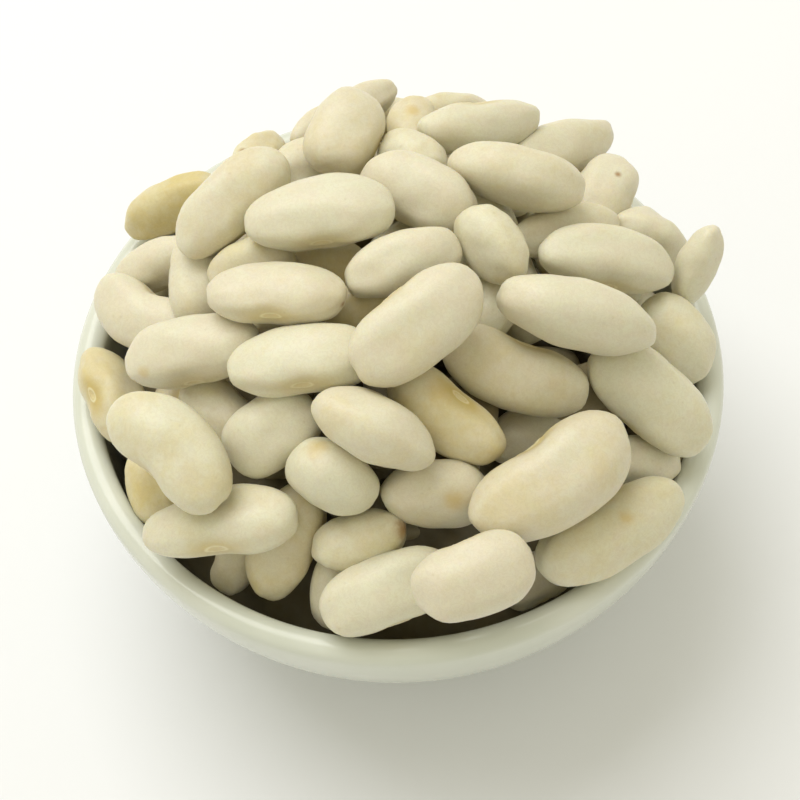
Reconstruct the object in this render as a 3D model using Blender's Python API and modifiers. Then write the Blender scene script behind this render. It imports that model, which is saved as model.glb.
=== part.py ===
"""A small white porcelain bowl, heaped with dried white kidney beans.

The bowl is turned. The heap is one body: a core that fills the bowl, with every bean of the top
layer joined to it. Lengths below are in millimetres, and the meshes are made in metres. The origin
is the middle of the bowl's foot, +Z is up, and the side that the photograph sees faces -Y.
"""

import math

import bmesh
import bpy
import numpy as np

MM = 0.001

# Bowl
BOWL_HEIGHT = 40.0
RIM_RADIUS = 47.5
LIP = 1.75  # radius of the rounded lip, half the wall's thickness there
LIP_HEIGHT = BOWL_HEIGHT - LIP
LIP_RADIUS = RIM_RADIUS - LIP
OUTER_DEPTH = 42.1  # how deep the outer wall would reach if the foot didn't cut it short
OUTER_BLUNT = 1.65  # below 2 the outer wall is slimmer than an ellipse
INNER_DEPTH = 33.25
INNER_BLUNT = 2.4  # above 2 the inner wall is fuller than an ellipse
FOOT_RADIUS = 24.5
FOOT_WIDTH = 3.5
RECESS = 2.0
FOOT_ROUND = 0.5
BOWL_SIDES = 48

# Heap
HEAP_HEIGHT = 24.0  # how far the bean centres rise over the rim
HEAP_RADIUS = 46.0
HEAP_BLUNT = 2.6
HEAP_SHIFT = 4.0  # the heap leans back by this much
CLEAR = 0.35  # gap between the core and the bowl
BEAN_CLEAR = 0.6  # gap between a bean and the bowl
CORE_DROP = 5.0  # how far the core's skin lies below the bean centres
CORE_RADIUS = RIM_RADIUS - 2 * LIP - CLEAR
CORE_EDGE = LIP_HEIGHT - 1.5
CORE_SLOPE = 2.5
CORE_UNDER = 1.0  # how far the skin lies below the middle of each bean, right under it
CORE_RISE = 0.7  # and how fast it rises again from there
CORE_SIDES = 40
CORE_RINGS = 9

# Bean
THICK = 0.78  # thickness of a bean over its width
BEND = 0.03  # rise of its back over its width, where a row says no other
BEND_LEVEL = 0.45  # keeps a bent bean's middle where a straight one has it
NOTCH = 0.02  # depth of the hollow at its eye over its width, which grows with the bend
NOTCH_SHARE = 0.6
NOTCH_REACH = 0.28  # half-length of that hollow over half the bean's length
BLUNT = 2.25
LONGEST = 25.0
EDGE_ON = 45  # a bean rolled by more than this shows its thickness, not its width
SEEN_FACES = (8, 6)  # sides and rings of a bean that shows, and of a hidden one
HIDDEN_FACES = (6, 5)
FEW_FACES = 1.04  # flat faces cut a bean's corners, so its points stand out by this much

# Where the photograph was taken from: its frame is 800 x 800 pixels
PICTURE_MIDDLE = (400.0, 400.0)
PICTURE_FOCUS = 2082.5
SIGHT_DISTANCE = 300.0
SIGHT_ELEVATION = 58.31
SIGHT_ROLL = -3.46
AIM = np.array([0.17, -6.37, BOWL_HEIGHT])


def seen(across, down, long, wide, turn, roll=0.0, lift=0.0, tip=None, bend=BEND):
    """A bean of the photograph: its middle's pixel, the length and width that show, in mm, the turn
    of its long axis in the picture, its roll about that axis, its height over the heap's dome and
    its bend."""
    return dict(
        pixel=(across, down), long=long, wide=wide, turn=turn, roll=roll, lift=lift, tip=tip, bend=bend
    )


SEEN_BEANS = (
    # left side and back left
    seen(172, 206, long=15.2, wide=8.1, turn=28, roll=-30, bend=0.04),
    seen(235, 210, long=19.4, wide=9.8, turn=42, bend=0.03),
    seen(300, 168, long=11.5, wide=7.6, turn=30, lift=-2),
    seen(259, 159, long=8.0, wide=6.4, turn=50, lift=-1, tip=-48),
    seen(158, 268, long=12.8, wide=7.6, turn=25, lift=-3),
    seen(195, 277, long=12.8, wide=8.2, turn=88, lift=-3),
    seen(152, 309, long=15.2, wide=9.4, turn=150, lift=-1, bend=0.10),
    seen(194, 353, long=18.4, wide=9.9, turn=10, roll=20, bend=0.06),
    seen(113, 396, long=14.2, wide=7.4, turn=-68, roll=50, lift=1, bend=0.06),
    # front left
    seen(173, 453, long=19.6, wide=11.0, turn=-45, lift=7, bend=0.10),
    seen(150, 492, long=11.8, wide=7.4, turn=108, lift=-4),
    seen(220, 522, long=20.9, wide=10.2, turn=8, roll=30, lift=4, bend=0.07),
    seen(284, 541, long=16.4, wide=9.4, turn=68, lift=-6),
    seen(219, 411, long=12.6, wide=8.2, turn=-50, lift=-5),
    seen(272, 430, long=13.7, wide=10.2, turn=33, lift=-2),
    seen(240, 562, long=9.3, wide=6.3, turn=60, lift=-6),
    # front middle
    seen(373, 430, long=17.4, wide=8.5, turn=-27, roll=-90, lift=2),
    seen(334, 476, long=12.9, wide=8.0, turn=-24, roll=-60),
    seen(360, 538, long=13.2, wide=7.7, turn=14, lift=-2, bend=0.0),
    seen(437, 495, long=14.4, wide=8.1, turn=-3, roll=-50, lift=-2, bend=0.0),
    seen(444, 421, long=18.0, wide=9.6, turn=144, roll=30, lift=-1, bend=0.06),
    seen(471, 572, long=16.2, wide=10.6, turn=200, lift=7, bend=0.03),
    seen(387, 587, long=18.6, wide=9.8, turn=20, lift=1, bend=0.02),
    seen(337, 588, long=11.6, wide=7.0, turn=80, lift=-5),
    seen(534, 580, long=10.3, wide=7.3, turn=30, lift=-6),
    # front right and right side
    seen(548, 480, long=23.8, wide=12.8, turn=213, lift=4, bend=0.08),
    seen(611, 532, long=21.9, wide=10.2, turn=210, roll=15, lift=3, bend=0.03),
    seen(530, 434, long=13.2, wide=7.8, turn=10, lift=-7),
    seen(513, 371, long=20.8, wide=10.0, turn=158, roll=10, lift=1, bend=0.05),
    seen(647, 406, long=19.4, wide=10.7, turn=-40, lift=0.5, bend=0.04),
    seen(668, 470, long=12.7, wide=7.2, turn=-5, lift=-1),
    seen(676, 337, long=13.8, wide=9.4, turn=-62, lift=-1),
    seen(697, 266, long=12.0, wide=5.3, turn=68, roll=-60, lift=16, tip=25, bend=0.06),
    # top
    seen(417, 326, long=20.4, wide=10.8, turn=219, lift=4, bend=0.01),
    seen(578, 323, long=21.7, wide=8.9, turn=-16, roll=-80, lift=3, bend=0.02),
    seen(606, 260, long=18.8, wide=9.4, turn=-8, roll=25, lift=3, bend=0.07),
    seen(491, 245, long=11.8, wide=8.8, turn=-48, roll=-40, lift=2, bend=0.0),
    seen(497, 300, long=11.2, wide=7.2, turn=70, lift=-6),
    seen(404, 264, long=16.2, wide=8.6, turn=18, bend=0.02),
    seen(318, 216, long=20.6, wide=10.4, turn=8, roll=14, lift=3, bend=0.04),
    seen(276, 294, long=18.8, wide=9.4, turn=-1, roll=30, lift=3, bend=0.05),
    seen(248, 261, long=12.6, wide=7.4, turn=20, lift=-3),
    seen(303, 362, long=20.2, wide=9.8, turn=7, roll=26, lift=1, bend=0.05),
    seen(335, 268, long=12.1, wide=7.3, turn=-20, lift=-7),
    seen(365, 306, long=11.9, wide=7.8, turn=30, lift=-6),
    # back
    seen(420, 192, long=16.4, wide=9.8, turn=-24, bend=0.02),
    seen(516, 181, long=19.3, wide=8.2, turn=-14, roll=-70, lift=3),
    seen(480, 128, long=17.6, wide=7.4, turn=186, lift=2, bend=0.08),
    seen(558, 147, long=16.4, wide=7.9, turn=20, lift=1, bend=0.0),
    seen(605, 193, long=10.2, wide=8.9, turn=60, lift=-1, bend=0.0),
    seen(565, 228, long=15.4, wide=7.6, turn=10, lift=-4),
    seen(648, 239, long=11.2, wide=7.9, turn=-30, lift=-1),
    seen(349, 136, long=11.9, wide=10.2, turn=60, lift=2, bend=0.0),
    seen(345, 113, long=17.5, wide=6.0, turn=28, lift=2, bend=0.0),
    seen(412, 127, long=9.3, wide=7.0, turn=80, lift=-3),
    seen(447, 118, long=13.0, wide=6.8, turn=4, lift=-3),
    seen(407, 156, long=9.8, wide=7.6, turn=-30, lift=-2),
)

# Beans that the photograph doesn't see: they start on the dome at random places and are let down
HIDDEN_TRIES = 250
HIDDEN_REACH = 41.0  # none starts farther from the axis
HIDDEN_FRONT = -2.0  # nor nearer to the eye than this
HIDDEN_LENGTHS = (15.0, 19.0)
HIDDEN_WIDTHS = (8.0, 9.5)
HIDDEN_BEND = 0.05
HIDDEN_ROLL = 0.5
HIDDEN_STEP = 1.0
HIDDEN_DEEP = 9.0  # none is let down by more than this
HIDDEN_LOWEST = 38.0
HIDDEN_APART = 8.0  # least distance between its middle and another bean's
HIDDEN_SQUEEZE = 1.0  # a hidden bean that still overlaps by more than this is left out
HIDDEN_SHOWS = 0.2  # the photograph sees no more than this share of one
HIDDEN_SLACK = 0.1  # or this much more once it has settled
HIDDEN_SEED = 11
SIGHT_STEP = 2.0
SIGHT_REACH = 60.0

# Settling
SETTLE_STEPS = 120
SETTLE_POINTS = 150
SIDEWAYS = 0.12  # how freely a seen bean slides across the sight line, along it being 1
SINK_STEP = 0.24
SINK_MOST = 4.0
TOUCH = 0.15  # beans nearer than this hold each other up
SETTLED = 0.05
BITE = 1.0  # a bean is joined to what it lies in by at least this much
BITE_STEP = 0.2
BITE_MOST = 4.0


def sight_axes():
    """Right, up and away from the eye, as the picture shows them."""
    elevation, roll = math.radians(SIGHT_ELEVATION), math.radians(SIGHT_ROLL)
    away = np.array([0.0, math.cos(elevation), -math.sin(elevation)])
    level = np.array([1.0, 0.0, 0.0])
    rise = np.cross(level, away)
    right = math.cos(roll) * level + math.sin(roll) * rise
    up = math.cos(roll) * rise - math.sin(roll) * level
    return right, up, away


RIGHT, UP, AWAY = sight_axes()
EYE = AIM - SIGHT_DISTANCE * AWAY


def sight_line(pixel):
    across = (pixel[0] - PICTURE_MIDDLE[0]) / PICTURE_FOCUS
    down = (pixel[1] - PICTURE_MIDDLE[1]) / PICTURE_FOCUS
    ray = AWAY + RIGHT * across - UP * down
    return ray / np.linalg.norm(ray)


def dome(x, y):
    """Height of the surface on which the bean centres lie."""
    out = np.hypot(x, y - HEAP_SHIFT) / HEAP_RADIUS
    return BOWL_HEIGHT + HEAP_HEIGHT * (1 - out**HEAP_BLUNT)


def dome_normal(point):
    step = 0.5
    x, y = point[0], point[1]
    slope_x = (dome(x + step, y) - dome(x - step, y)) / (2 * step)
    slope_y = (dome(x, y + step) - dome(x, y - step)) / (2 * step)
    normal = np.array([-slope_x, -slope_y, 1.0])
    return normal / np.linalg.norm(normal)


def where_sight_meets_dome(pixel, lift):
    ray = sight_line(pixel)
    along = np.linspace(0.65, 1.2, 1601) * SIGHT_DISTANCE
    points = EYE + along[:, None] * ray
    over = points[:, 2] - dome(points[:, 0], points[:, 1])
    below = np.nonzero(over < 0)[0]
    first = below[0] if len(below) else int(np.argmin(over))
    return EYE + (along[first] - lift) * ray, ray


def frame_facing(toward, turn):
    """Axes along a bean, to its back and out of its flat side, for a bean seen flat from `toward`."""
    right = RIGHT - toward * (RIGHT @ toward)
    right /= np.linalg.norm(right)
    up = np.cross(toward, right)
    along = math.cos(turn) * right + math.sin(turn) * up
    back = math.cos(turn) * up - math.sin(turn) * right
    return along, back, toward


def tilted(along, back, flat, tip, roll):
    along, flat = (
        math.cos(tip) * along + math.sin(tip) * flat,
        math.cos(tip) * flat - math.sin(tip) * along,
    )
    back, flat = (
        math.cos(roll) * back - math.sin(roll) * flat,
        math.cos(roll) * flat + math.sin(roll) * back,
    )
    return np.array([along, back, flat])


def lying_tip(place, along, toward):
    """A bean partly follows the slope of the heap under it."""
    share, most, shallow = 0.6, 40.0, 0.15
    normal = dome_normal(place)
    full = math.degrees(math.atan2(-(along @ normal), max(toward @ normal, shallow)))
    return math.radians(max(-most, min(most, share * full)))


def seen_bean(row):
    place, ray = where_sight_meets_dome(row["pixel"], row["lift"])
    turn, roll = math.radians(row["turn"]), math.radians(row["roll"])
    along, back, toward = frame_facing(-ray, turn)
    tip = lying_tip(place, along, toward) if row["tip"] is None else math.radians(row["tip"])
    length = min(LONGEST, row["long"] / math.cos(tip))
    width = row["wide"] if abs(row["roll"]) < EDGE_ON else row["wide"] / THICK
    axes = tilted(along, back, toward, tip, roll)
    form = dict(length=length, width=width, bend=row["bend"], faces=SEEN_FACES)
    return dict(place=place, axes=axes, ray=ray, slide=SIDEWAYS, **form)


def hidden_beans(shown):
    """Beans behind and under the seen ones, each let down until the sight lines don't reach it."""
    draw = np.random.default_rng(HIDDEN_SEED)
    beans = []
    for _ in range(HIDDEN_TRIES):
        x, y = draw.uniform(-HIDDEN_REACH, HIDDEN_REACH), draw.uniform(HIDDEN_FRONT, HIDDEN_REACH)
        turn, roll = draw.uniform(0, math.pi), draw.normal(0, HIDDEN_ROLL)
        length, width = draw.uniform(*HIDDEN_LENGTHS), draw.uniform(*HIDDEN_WIDTHS)
        place = np.array([x, y, float(dome(x, y))])
        normal = dome_normal(place)
        axes = tilted(*frame_facing(normal, turn), 0.0, roll)
        form = dict(length=length, width=width, bend=HIDDEN_BEND, faces=HIDDEN_FACES)
        bean = dict(place=place, axes=axes, ray=-normal, slide=1.0, **form)
        bean["skin"] = bean_points(bean, even_directions(SETTLE_POINTS))
        if math.hypot(x, y) < HIDDEN_REACH and hide(bean, beans, shown):
            beans.append(bean)
    return beans


def hide(bean, beans, shown):
    """Lowers a bean until it has room and is out of sight. Returns whether there is such a place."""
    lowest = max(bean["place"][2] - HIDDEN_DEEP, HIDDEN_LOWEST)
    while not apart(bean, beans + shown) or share_in_sight(bean, shown) > HIDDEN_SHOWS:
        bean["place"] = bean["place"] - np.array([0.0, 0.0, HIDDEN_STEP])
        if bean["place"][2] < lowest:
            return False
    return True


def apart(bean, others):
    return min(np.linalg.norm(bean["place"] - other["place"]) for other in others) > HIDDEN_APART


def heaped_beans():
    """The beans that show, settled among themselves, then the hidden ones settled round them."""
    shown = settle([seen_bean(row) for row in SEEN_BEANS], [])
    heap = list(shown)
    for bean in settle(hidden_beans(shown), shown):
        fits = squeeze(bean, heap) < HIDDEN_SQUEEZE and reach_out(bean) < RIM_RADIUS
        if fits and share_in_sight(bean, shown) < HIDDEN_SHOWS + HIDDEN_SLACK:
            heap.append(bean)
    return heap


def half_sizes(bean):
    return np.array([bean["length"], bean["width"], bean["width"] * THICK]) / 2


def bean_points(bean, directions):
    """The bean's surface along unit directions given in its own frame, about its middle."""
    reach = (np.abs(directions) ** BLUNT).sum(axis=1) ** (-1 / BLUNT)
    x, y, z = (directions * reach[:, None]).T
    half = half_sizes(bean)
    rise = bean["bend"] * bean["width"] * (BEND_LEVEL - x * x)
    deep = (NOTCH + NOTCH_SHARE * bean["bend"]) * bean["width"]
    hollow = deep * np.exp(-((x / NOTCH_REACH) ** 2)) * np.clip(-y, 0, 1) ** 2
    local = np.stack([x * half[0], y * half[1] + rise + hollow, z * half[2]], axis=1)
    return local @ bean["axes"]


def even_directions(count):
    number = np.arange(count) + 0.5
    height = 1 - 2 * number / count
    angle = math.pi * (1 + math.sqrt(5)) * number
    flat = np.sqrt(1 - height**2)
    return np.stack([height, flat * np.cos(angle), flat * np.sin(angle)], axis=1)


def inner_radius(height):
    """Radius of the bowl's inner wall at this height."""
    down = np.clip((LIP_HEIGHT - height) / INNER_DEPTH, 0, 1)
    return (RIM_RADIUS - 2 * LIP) * np.sqrt(np.clip(1 - down**INNER_BLUNT, 0, 1))


def depth_inside(offsets, bean):
    """How deep points about a bean's middle lie in it, and the way out for each, in world axes."""
    local = offsets @ bean["axes"].T
    half = half_sizes(bean)
    bend = bean["bend"] * bean["width"]
    x = local[:, 0] / half[0]
    y = (local[:, 1] - bend * (BEND_LEVEL - x * x)) / half[1]
    z = local[:, 2] / half[2]
    level = np.sqrt(x * x + y * y + z * z) + 1e-9
    slope = np.stack([(x + 2 * bend * x * y / half[1]) / half[0], y / half[1], z / half[2]], axis=1)
    slope /= level[:, None]
    steep = np.linalg.norm(slope, axis=1)
    return (1 - level) / steep, (slope / steep[:, None]) @ bean["axes"]


def freedom(bean):
    """How freely a bean moves each way: a seen bean keeps its pixel, so it goes along its sight line."""
    return bean["slide"] * np.eye(3) + (1 - bean["slide"]) * np.outer(bean["ray"], bean["ray"])


def overlap(a, b):
    """How deep two beans lie in each other, and the way in which the first leaves the second."""
    apart = a["place"] - b["place"]
    deepest, way = -LONGEST, None
    for mover, other, offset, sign in ((a, b, apart, 1), (b, a, -apart, -1)):
        depth, outward = depth_inside(mover["skin"] + offset, other)
        worst = depth.max()
        if worst > deepest:
            weight = np.clip(depth, 0, None) ** 2
            mean = weight @ outward if worst > 0 else outward[depth.argmax()]
            deepest, way = worst, sign * mean / (np.linalg.norm(mean) + 1e-9)
    return deepest, way


def near(a, b):
    return np.linalg.norm(a["place"] - b["place"]) < (a["length"] + b["length"]) / 2


def squeeze(bean, others):
    """How deep a bean lies in the one that it overlaps most."""
    close = [other for other in others if other is not bean and near(bean, other)]
    return max((overlap(bean, other)[0] for other in close), default=0)


def share_in_sight(bean, others):
    """How much of a bean's near side the eye sees past the others."""
    toward = (EYE - bean["place"]) / np.linalg.norm(EYE - bean["place"])
    points = (bean["skin"] + bean["place"])[bean["skin"] @ toward > 0]
    covered = np.zeros(len(points), bool)
    ahead = np.arange(SIGHT_STEP, SIGHT_REACH, SIGHT_STEP)
    for other in others:
        apart = other["place"] - bean["place"]
        beside = np.linalg.norm(apart - (apart @ toward) * toward)
        if apart @ toward > 0 and beside < LONGEST:
            offsets = (points - other["place"])[:, None] + ahead[:, None] * toward
            deep = depth_inside(offsets.reshape(-1, 3), other)[0].reshape(len(points), -1)
            covered |= deep.max(axis=1) > 0
    return 1 - covered.mean()


def reach_out(bean):
    """How far a bean reaches from the bowl's axis."""
    points = bean["skin"] + bean["place"]
    return np.hypot(points[:, 0], points[:, 1]).max()


def core_skin(x, y, beans):
    """Height of the core's skin: under the dome and each bean, and steep at the bowl's wall."""
    inward = np.maximum(0.0, CORE_RADIUS - np.hypot(x, y))
    skin = np.minimum(dome(x, y) - CORE_DROP, CORE_EDGE + CORE_SLOPE * inward)
    for bean in beans:
        across, back, up = bean["place"]
        skin = np.minimum(skin, up - CORE_UNDER + CORE_RISE * np.hypot(x - across, y - back))
    return np.maximum(CORE_EDGE, skin)


def core_bite(bean, beans):
    """How deep a bean reaches into the core that these beans lie on."""
    points = bean["skin"] + bean["place"]
    inside = np.hypot(points[:, 0], points[:, 1]) < CORE_RADIUS
    return np.where(inside, core_skin(*points[:, :2].T, beans) - points[:, 2], -1.0).max()


def press_together(beans):
    """Presses each bean that only touches the others towards the heap's middle, to be joined to it."""
    middle = np.array([0.0, HEAP_SHIFT, BOWL_HEIGHT])
    for bean in beans:
        inward = middle - bean["place"]
        step = BITE_STEP * inward / np.linalg.norm(inward)
        pressed = 0.0
        while max(squeeze(bean, beans), core_bite(bean, beans)) < BITE and pressed < BITE_MOST:
            bean["place"] = bean["place"] + step
            pressed += BITE_STEP
    return beans


def clear_of_bowl(bean):
    """Moves a bean off the bowl's lip and inner wall. Returns whether it rested on them."""
    points = bean["skin"] + bean["place"]
    out = np.hypot(points[:, 0], points[:, 1])
    outward = points[:, :2] / (out[:, None] + 1e-9)
    up, over = points[:, 2] - LIP_HEIGHT, out - LIP_RADIUS
    away = np.hypot(up, over) + 1e-9
    on_lip = up > -1.0
    wall = out - (inner_radius(points[:, 2]) - BEAN_CLEAR)
    depth = np.where(on_lip, LIP + BEAN_CLEAR - away, wall)
    lip_way = np.column_stack([outward * (over / away)[:, None], up / away])
    wall_way = np.column_stack([-0.8 * outward, np.full(len(out), 0.6)])
    worst = int(depth.argmax())
    if depth[worst] <= 0:
        return False
    way = lip_way[worst] if on_lip[worst] else wall_way[worst]
    move = (bean["free"] + 0.25 * np.eye(3)) @ way
    bean["place"] = bean["place"] + 0.8 * depth[worst] / (way @ move) * move
    return True


def settle(beans, fixed):
    """Parts the beans from each other and from the fixed ones. One that touches nothing sinks."""
    directions = even_directions(SETTLE_POINTS)
    for bean in beans:
        bean.update(skin=bean_points(bean, directions), free=freedom(bean), sunk=0.0)
    for bean in fixed:
        bean["free"] = np.zeros((3, 3))
    for _ in range(SETTLE_STEPS):
        held, worst = set(), 0.0
        for i, a in enumerate(beans):
            for b in beans[i + 1 :] + fixed:
                if not near(a, b):
                    continue
                deep, way = overlap(a, b)
                worst = max(worst, deep)
                if deep > -TOUCH:
                    held |= {id(a), id(b)}
                if deep > 0:
                    move_a, move_b = a["free"] @ way, b["free"] @ way
                    share = 0.8 * deep / (way @ (move_a + move_b))
                    a["place"] = a["place"] + share * move_a
                    b["place"] = b["place"] - share * move_b
        for bean in beans:
            if clear_of_bowl(bean):
                held.add(id(bean))
            if id(bean) not in held and bean["sunk"] < SINK_MOST:
                bean["place"] = bean["place"] + SINK_STEP * bean["ray"]
                bean["sunk"] += SINK_STEP
        if worst < SETTLED and len(held) >= len(beans):
            break
    return beans


def clear_scene():
    for thing in list(bpy.data.objects):
        bpy.data.objects.remove(thing, do_unlink=True)


def new_collection(name):
    group = bpy.data.collections.new(name)
    bpy.context.scene.collection.children.link(group)
    return group


def material(name, colour, roughness):
    finish = bpy.data.materials.new(name)
    finish.use_nodes = True
    shader = finish.node_tree.nodes["Principled BSDF"]
    shader.inputs["Base Color"].default_value = (*colour, 1.0)
    shader.inputs["Roughness"].default_value = roughness
    shader.inputs["Metallic"].default_value = 0.0
    return finish


def arc(middle, radius, start, end, steps):
    """Points (out, up) on a circle, from one angle in degrees to another."""
    points = []
    for step in range(steps + 1):
        angle = math.radians(start + (end - start) * step / steps)
        points.append((middle[0] + radius * math.cos(angle), middle[1] + radius * math.sin(angle)))
    return points


def bowl_profile():
    """From the middle of the bowl's inside over the lip, down the outer wall and under the foot."""
    wall_steps = 11
    inside = []
    for step in range(wall_steps + 1):
        down = math.cos(math.pi / 2 * step / wall_steps)
        height = LIP_HEIGHT - INNER_DEPTH * down
        inside.append((float(inner_radius(height)), height))
    lip = arc((LIP_RADIUS, LIP_HEIGHT), LIP, 180, 0, 8)[1:]
    foot_top = (1 - (FOOT_RADIUS / RIM_RADIUS) ** 2) ** (1 / OUTER_BLUNT) * OUTER_DEPTH
    outside = []
    for step in range(1, wall_steps + 1):
        down = foot_top * math.sin(math.pi / 2 * step / wall_steps)
        share = math.sqrt(1 - (down / OUTER_DEPTH) ** OUTER_BLUNT)
        outside.append((RIM_RADIUS * share, LIP_HEIGHT - down))
    outer_edge = FOOT_RADIUS - FOOT_ROUND
    inner_edge = FOOT_RADIUS - FOOT_WIDTH + FOOT_ROUND
    foot = arc((outer_edge, FOOT_ROUND), FOOT_ROUND, 0, -90, 3)
    foot += arc((inner_edge, FOOT_ROUND), FOOT_ROUND, -90, -180, 3)
    return inside + lip + outside + foot + [(inner_edge - FOOT_ROUND, RECESS), (0.0, RECESS)]


def turned(name, profile, sides, group):
    """A profile of (out, up) points in mm, turned about the Z axis."""
    mesh = bpy.data.meshes.new(name)
    points = [(out * MM, 0.0, up * MM) for out, up in profile]
    mesh.from_pydata(points, [(n, n + 1) for n in range(len(points) - 1)], [])
    thing = bpy.data.objects.new(name, mesh)
    group.objects.link(thing)
    screw = thing.modifiers.new("Turn", "SCREW")
    screw.angle = 2 * math.pi
    screw.steps = sides
    screw.render_steps = sides
    screw.use_merge_vertices = True
    screw.merge_threshold = 0.1 * MM
    screw.use_smooth_shade = True
    return thing


def make_plain(thing):
    """Replaces an object's mesh by what its modifiers make of it."""
    graph = bpy.context.evaluated_depsgraph_get()
    mesh = bpy.data.meshes.new_from_object(thing.evaluated_get(graph))
    thing.modifiers.clear()
    thing.data = mesh
    mesh.name = thing.name
    return thing


def core_profile():
    """From the middle of the heap's core out to its edge and down along the bowl's inner wall."""
    wall_steps = 9
    skin = [(CORE_RADIUS * step / CORE_RINGS, CORE_EDGE) for step in range(CORE_RINGS + 1)]
    depth = CORE_EDGE - (LIP_HEIGHT - INNER_DEPTH + CLEAR)
    wall = []
    for step in range(1, wall_steps):
        height = CORE_EDGE - depth * math.sin(math.pi / 2 * step / wall_steps)
        wall.append((float(inner_radius(height - CLEAR)) - CLEAR, height))
    return skin + wall + [(0.0, CORE_EDGE - depth)]


def heap_up(core, beans):
    """Lifts the core's flat top to the height that the heap has there."""
    for vertex in core.data.vertices:
        x, y, z = (value / MM for value in vertex.co)
        if z > CORE_EDGE - MM:
            vertex.co.z = float(core_skin(x, y, beans)) * MM


def bean_mesh(bean, name):
    """A kidney bean with few faces, at its place in the heap."""
    sides, rings = bean["faces"]
    bpy.ops.mesh.primitive_uv_sphere_add(segments=sides, ring_count=rings, radius=1.0)
    thing = bpy.context.active_object
    thing.name = name
    directions = np.array([(v.co.z, v.co.x, v.co.y) for v in thing.data.vertices])
    points = (FEW_FACES * bean_points(bean, directions) + bean["place"]) * MM
    thing.data.vertices.foreach_set("co", points.ravel())
    thing.data.update()
    return thing


def keep_largest_shell(thing):
    """Fills the hollows that joining has sealed and drops loose scraps: both are shells of their own."""
    shape = bmesh.new()
    shape.from_mesh(thing.data)
    bmesh.ops.triangulate(shape, faces=list(shape.faces), ngon_method="EAR_CLIP")
    waiting = set(shape.faces)
    shells = []
    while waiting:
        shell, edge = [], [waiting.pop()]
        while edge:
            face = edge.pop()
            shell.append(face)
            sides = [side for side in face.edges if len(side.link_faces) == 2]
            found = {other for side in sides for other in side.link_faces} & waiting
            waiting -= found
            edge.extend(found)
        shells.append(shell)
    shells.sort(key=len)
    loose = [face for shell in shells[:-1] for face in shell]
    bmesh.ops.delete(shape, geom=loose, context="FACES")
    shape.to_mesh(thing.data)
    shape.free()


def fuse(core, pieces, group):
    """One Boolean union of the core with every piece, after which the pieces are removed."""
    for piece in pieces:
        for holder in list(piece.users_collection):
            holder.objects.unlink(piece)
        group.objects.link(piece)
        piece.hide_render = True
        piece.display_type = "WIRE"
    union = core.modifiers.new("Join the beans", "BOOLEAN")
    union.operation = "UNION"
    union.operand_type = "COLLECTION"
    union.collection = group
    union.solver = "MANIFOLD"  # EXACT leaves slivers of no thickness where so many pieces meet
    make_plain(core)
    for piece in pieces:
        bpy.data.objects.remove(piece, do_unlink=True)
    bpy.data.collections.remove(group)
    keep_largest_shell(core)


def main():
    clear_scene()
    things = new_collection("bowl of dried beans")
    cutters = new_collection("beans to join")

    bowl = turned("bowl", bowl_profile(), BOWL_SIDES, things)
    bowl.data.materials.append(material("white glaze", (0.72, 0.74, 0.65), 0.12))

    beans = press_together(heaped_beans())
    core = make_plain(turned("beans", core_profile(), CORE_SIDES, things))
    heap_up(core, beans)
    fuse(core, [bean_mesh(bean, f"bean {n}") for n, bean in enumerate(beans)], cutters)
    core.data.materials.clear()
    core.data.materials.append(material("bean skin", (0.70, 0.64, 0.48), 0.45))
    core.data.shade_smooth()
    core.data.set_sharp_from_angle(angle=math.radians(40))


main()
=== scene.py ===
# %% [markdown]
# # A small bowl, heaped with dried white beans
#
# The real thing is a bowl of white porcelain, 95 mm across its rim, with dried kidney beans piled
# well over it. This lesson dresses the plain CAD model of it: every bean gets its own place, its
# own shape and its own skin. We load the CAD model first, because everything here is placed in its
# frame: metres, +Z up, the middle of the foot at the origin, the side that we look from at -Y.

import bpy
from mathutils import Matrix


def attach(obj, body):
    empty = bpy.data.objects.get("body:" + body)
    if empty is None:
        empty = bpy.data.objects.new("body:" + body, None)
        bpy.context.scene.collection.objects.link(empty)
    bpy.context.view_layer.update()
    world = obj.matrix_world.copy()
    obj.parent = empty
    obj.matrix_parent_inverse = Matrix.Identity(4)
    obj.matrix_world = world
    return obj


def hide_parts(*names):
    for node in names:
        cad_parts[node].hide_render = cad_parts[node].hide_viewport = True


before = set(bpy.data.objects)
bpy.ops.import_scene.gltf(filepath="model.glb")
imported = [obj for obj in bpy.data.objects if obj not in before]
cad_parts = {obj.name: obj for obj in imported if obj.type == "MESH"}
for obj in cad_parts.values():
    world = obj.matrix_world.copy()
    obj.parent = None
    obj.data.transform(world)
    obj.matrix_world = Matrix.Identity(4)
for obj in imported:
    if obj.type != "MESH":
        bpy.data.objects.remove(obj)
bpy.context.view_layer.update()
print("CAD nodes:", sorted(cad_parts))

# %% [markdown]
# Blender gives us the meshes and materials, and numpy moves many points at once. Sizes of things
# on a table are easier to think of in millimetres, so we write them that way, and multiply by MM
# only when a mesh is made.

# %% Tools and units
import math

import bmesh
import bpy
import numpy as np
from mathutils import Matrix, Vector

MM = 0.001
scene = bpy.context.scene


def tell(thing, what):
    triangles = sum(len(face.vertices) - 2 for face in thing.data.polygons)
    print(f"{thing.name}: {what}, {triangles} triangles")


# %% [markdown]
# ## The eye
#
# The beans are laid where they are seen, so the camera comes before them. It looks down at about
# 58 degrees from 300 mm away through a long lens, and leans a little. We work out its three axes
# by hand, because the same axes turn a point of the picture into a line through the scene.

# %% Where we look from
BOWL_HEIGHT = 40.0
PICTURE_SIDE = 800.0  # pixels
PICTURE_FOCUS = 2082.5  # pixels
SIGHT_DISTANCE = 300.0
SIGHT_ELEVATION = 58.31
SIGHT_ROLL = -3.46
AIM = np.array([0.17, -6.37, BOWL_HEIGHT])


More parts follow.
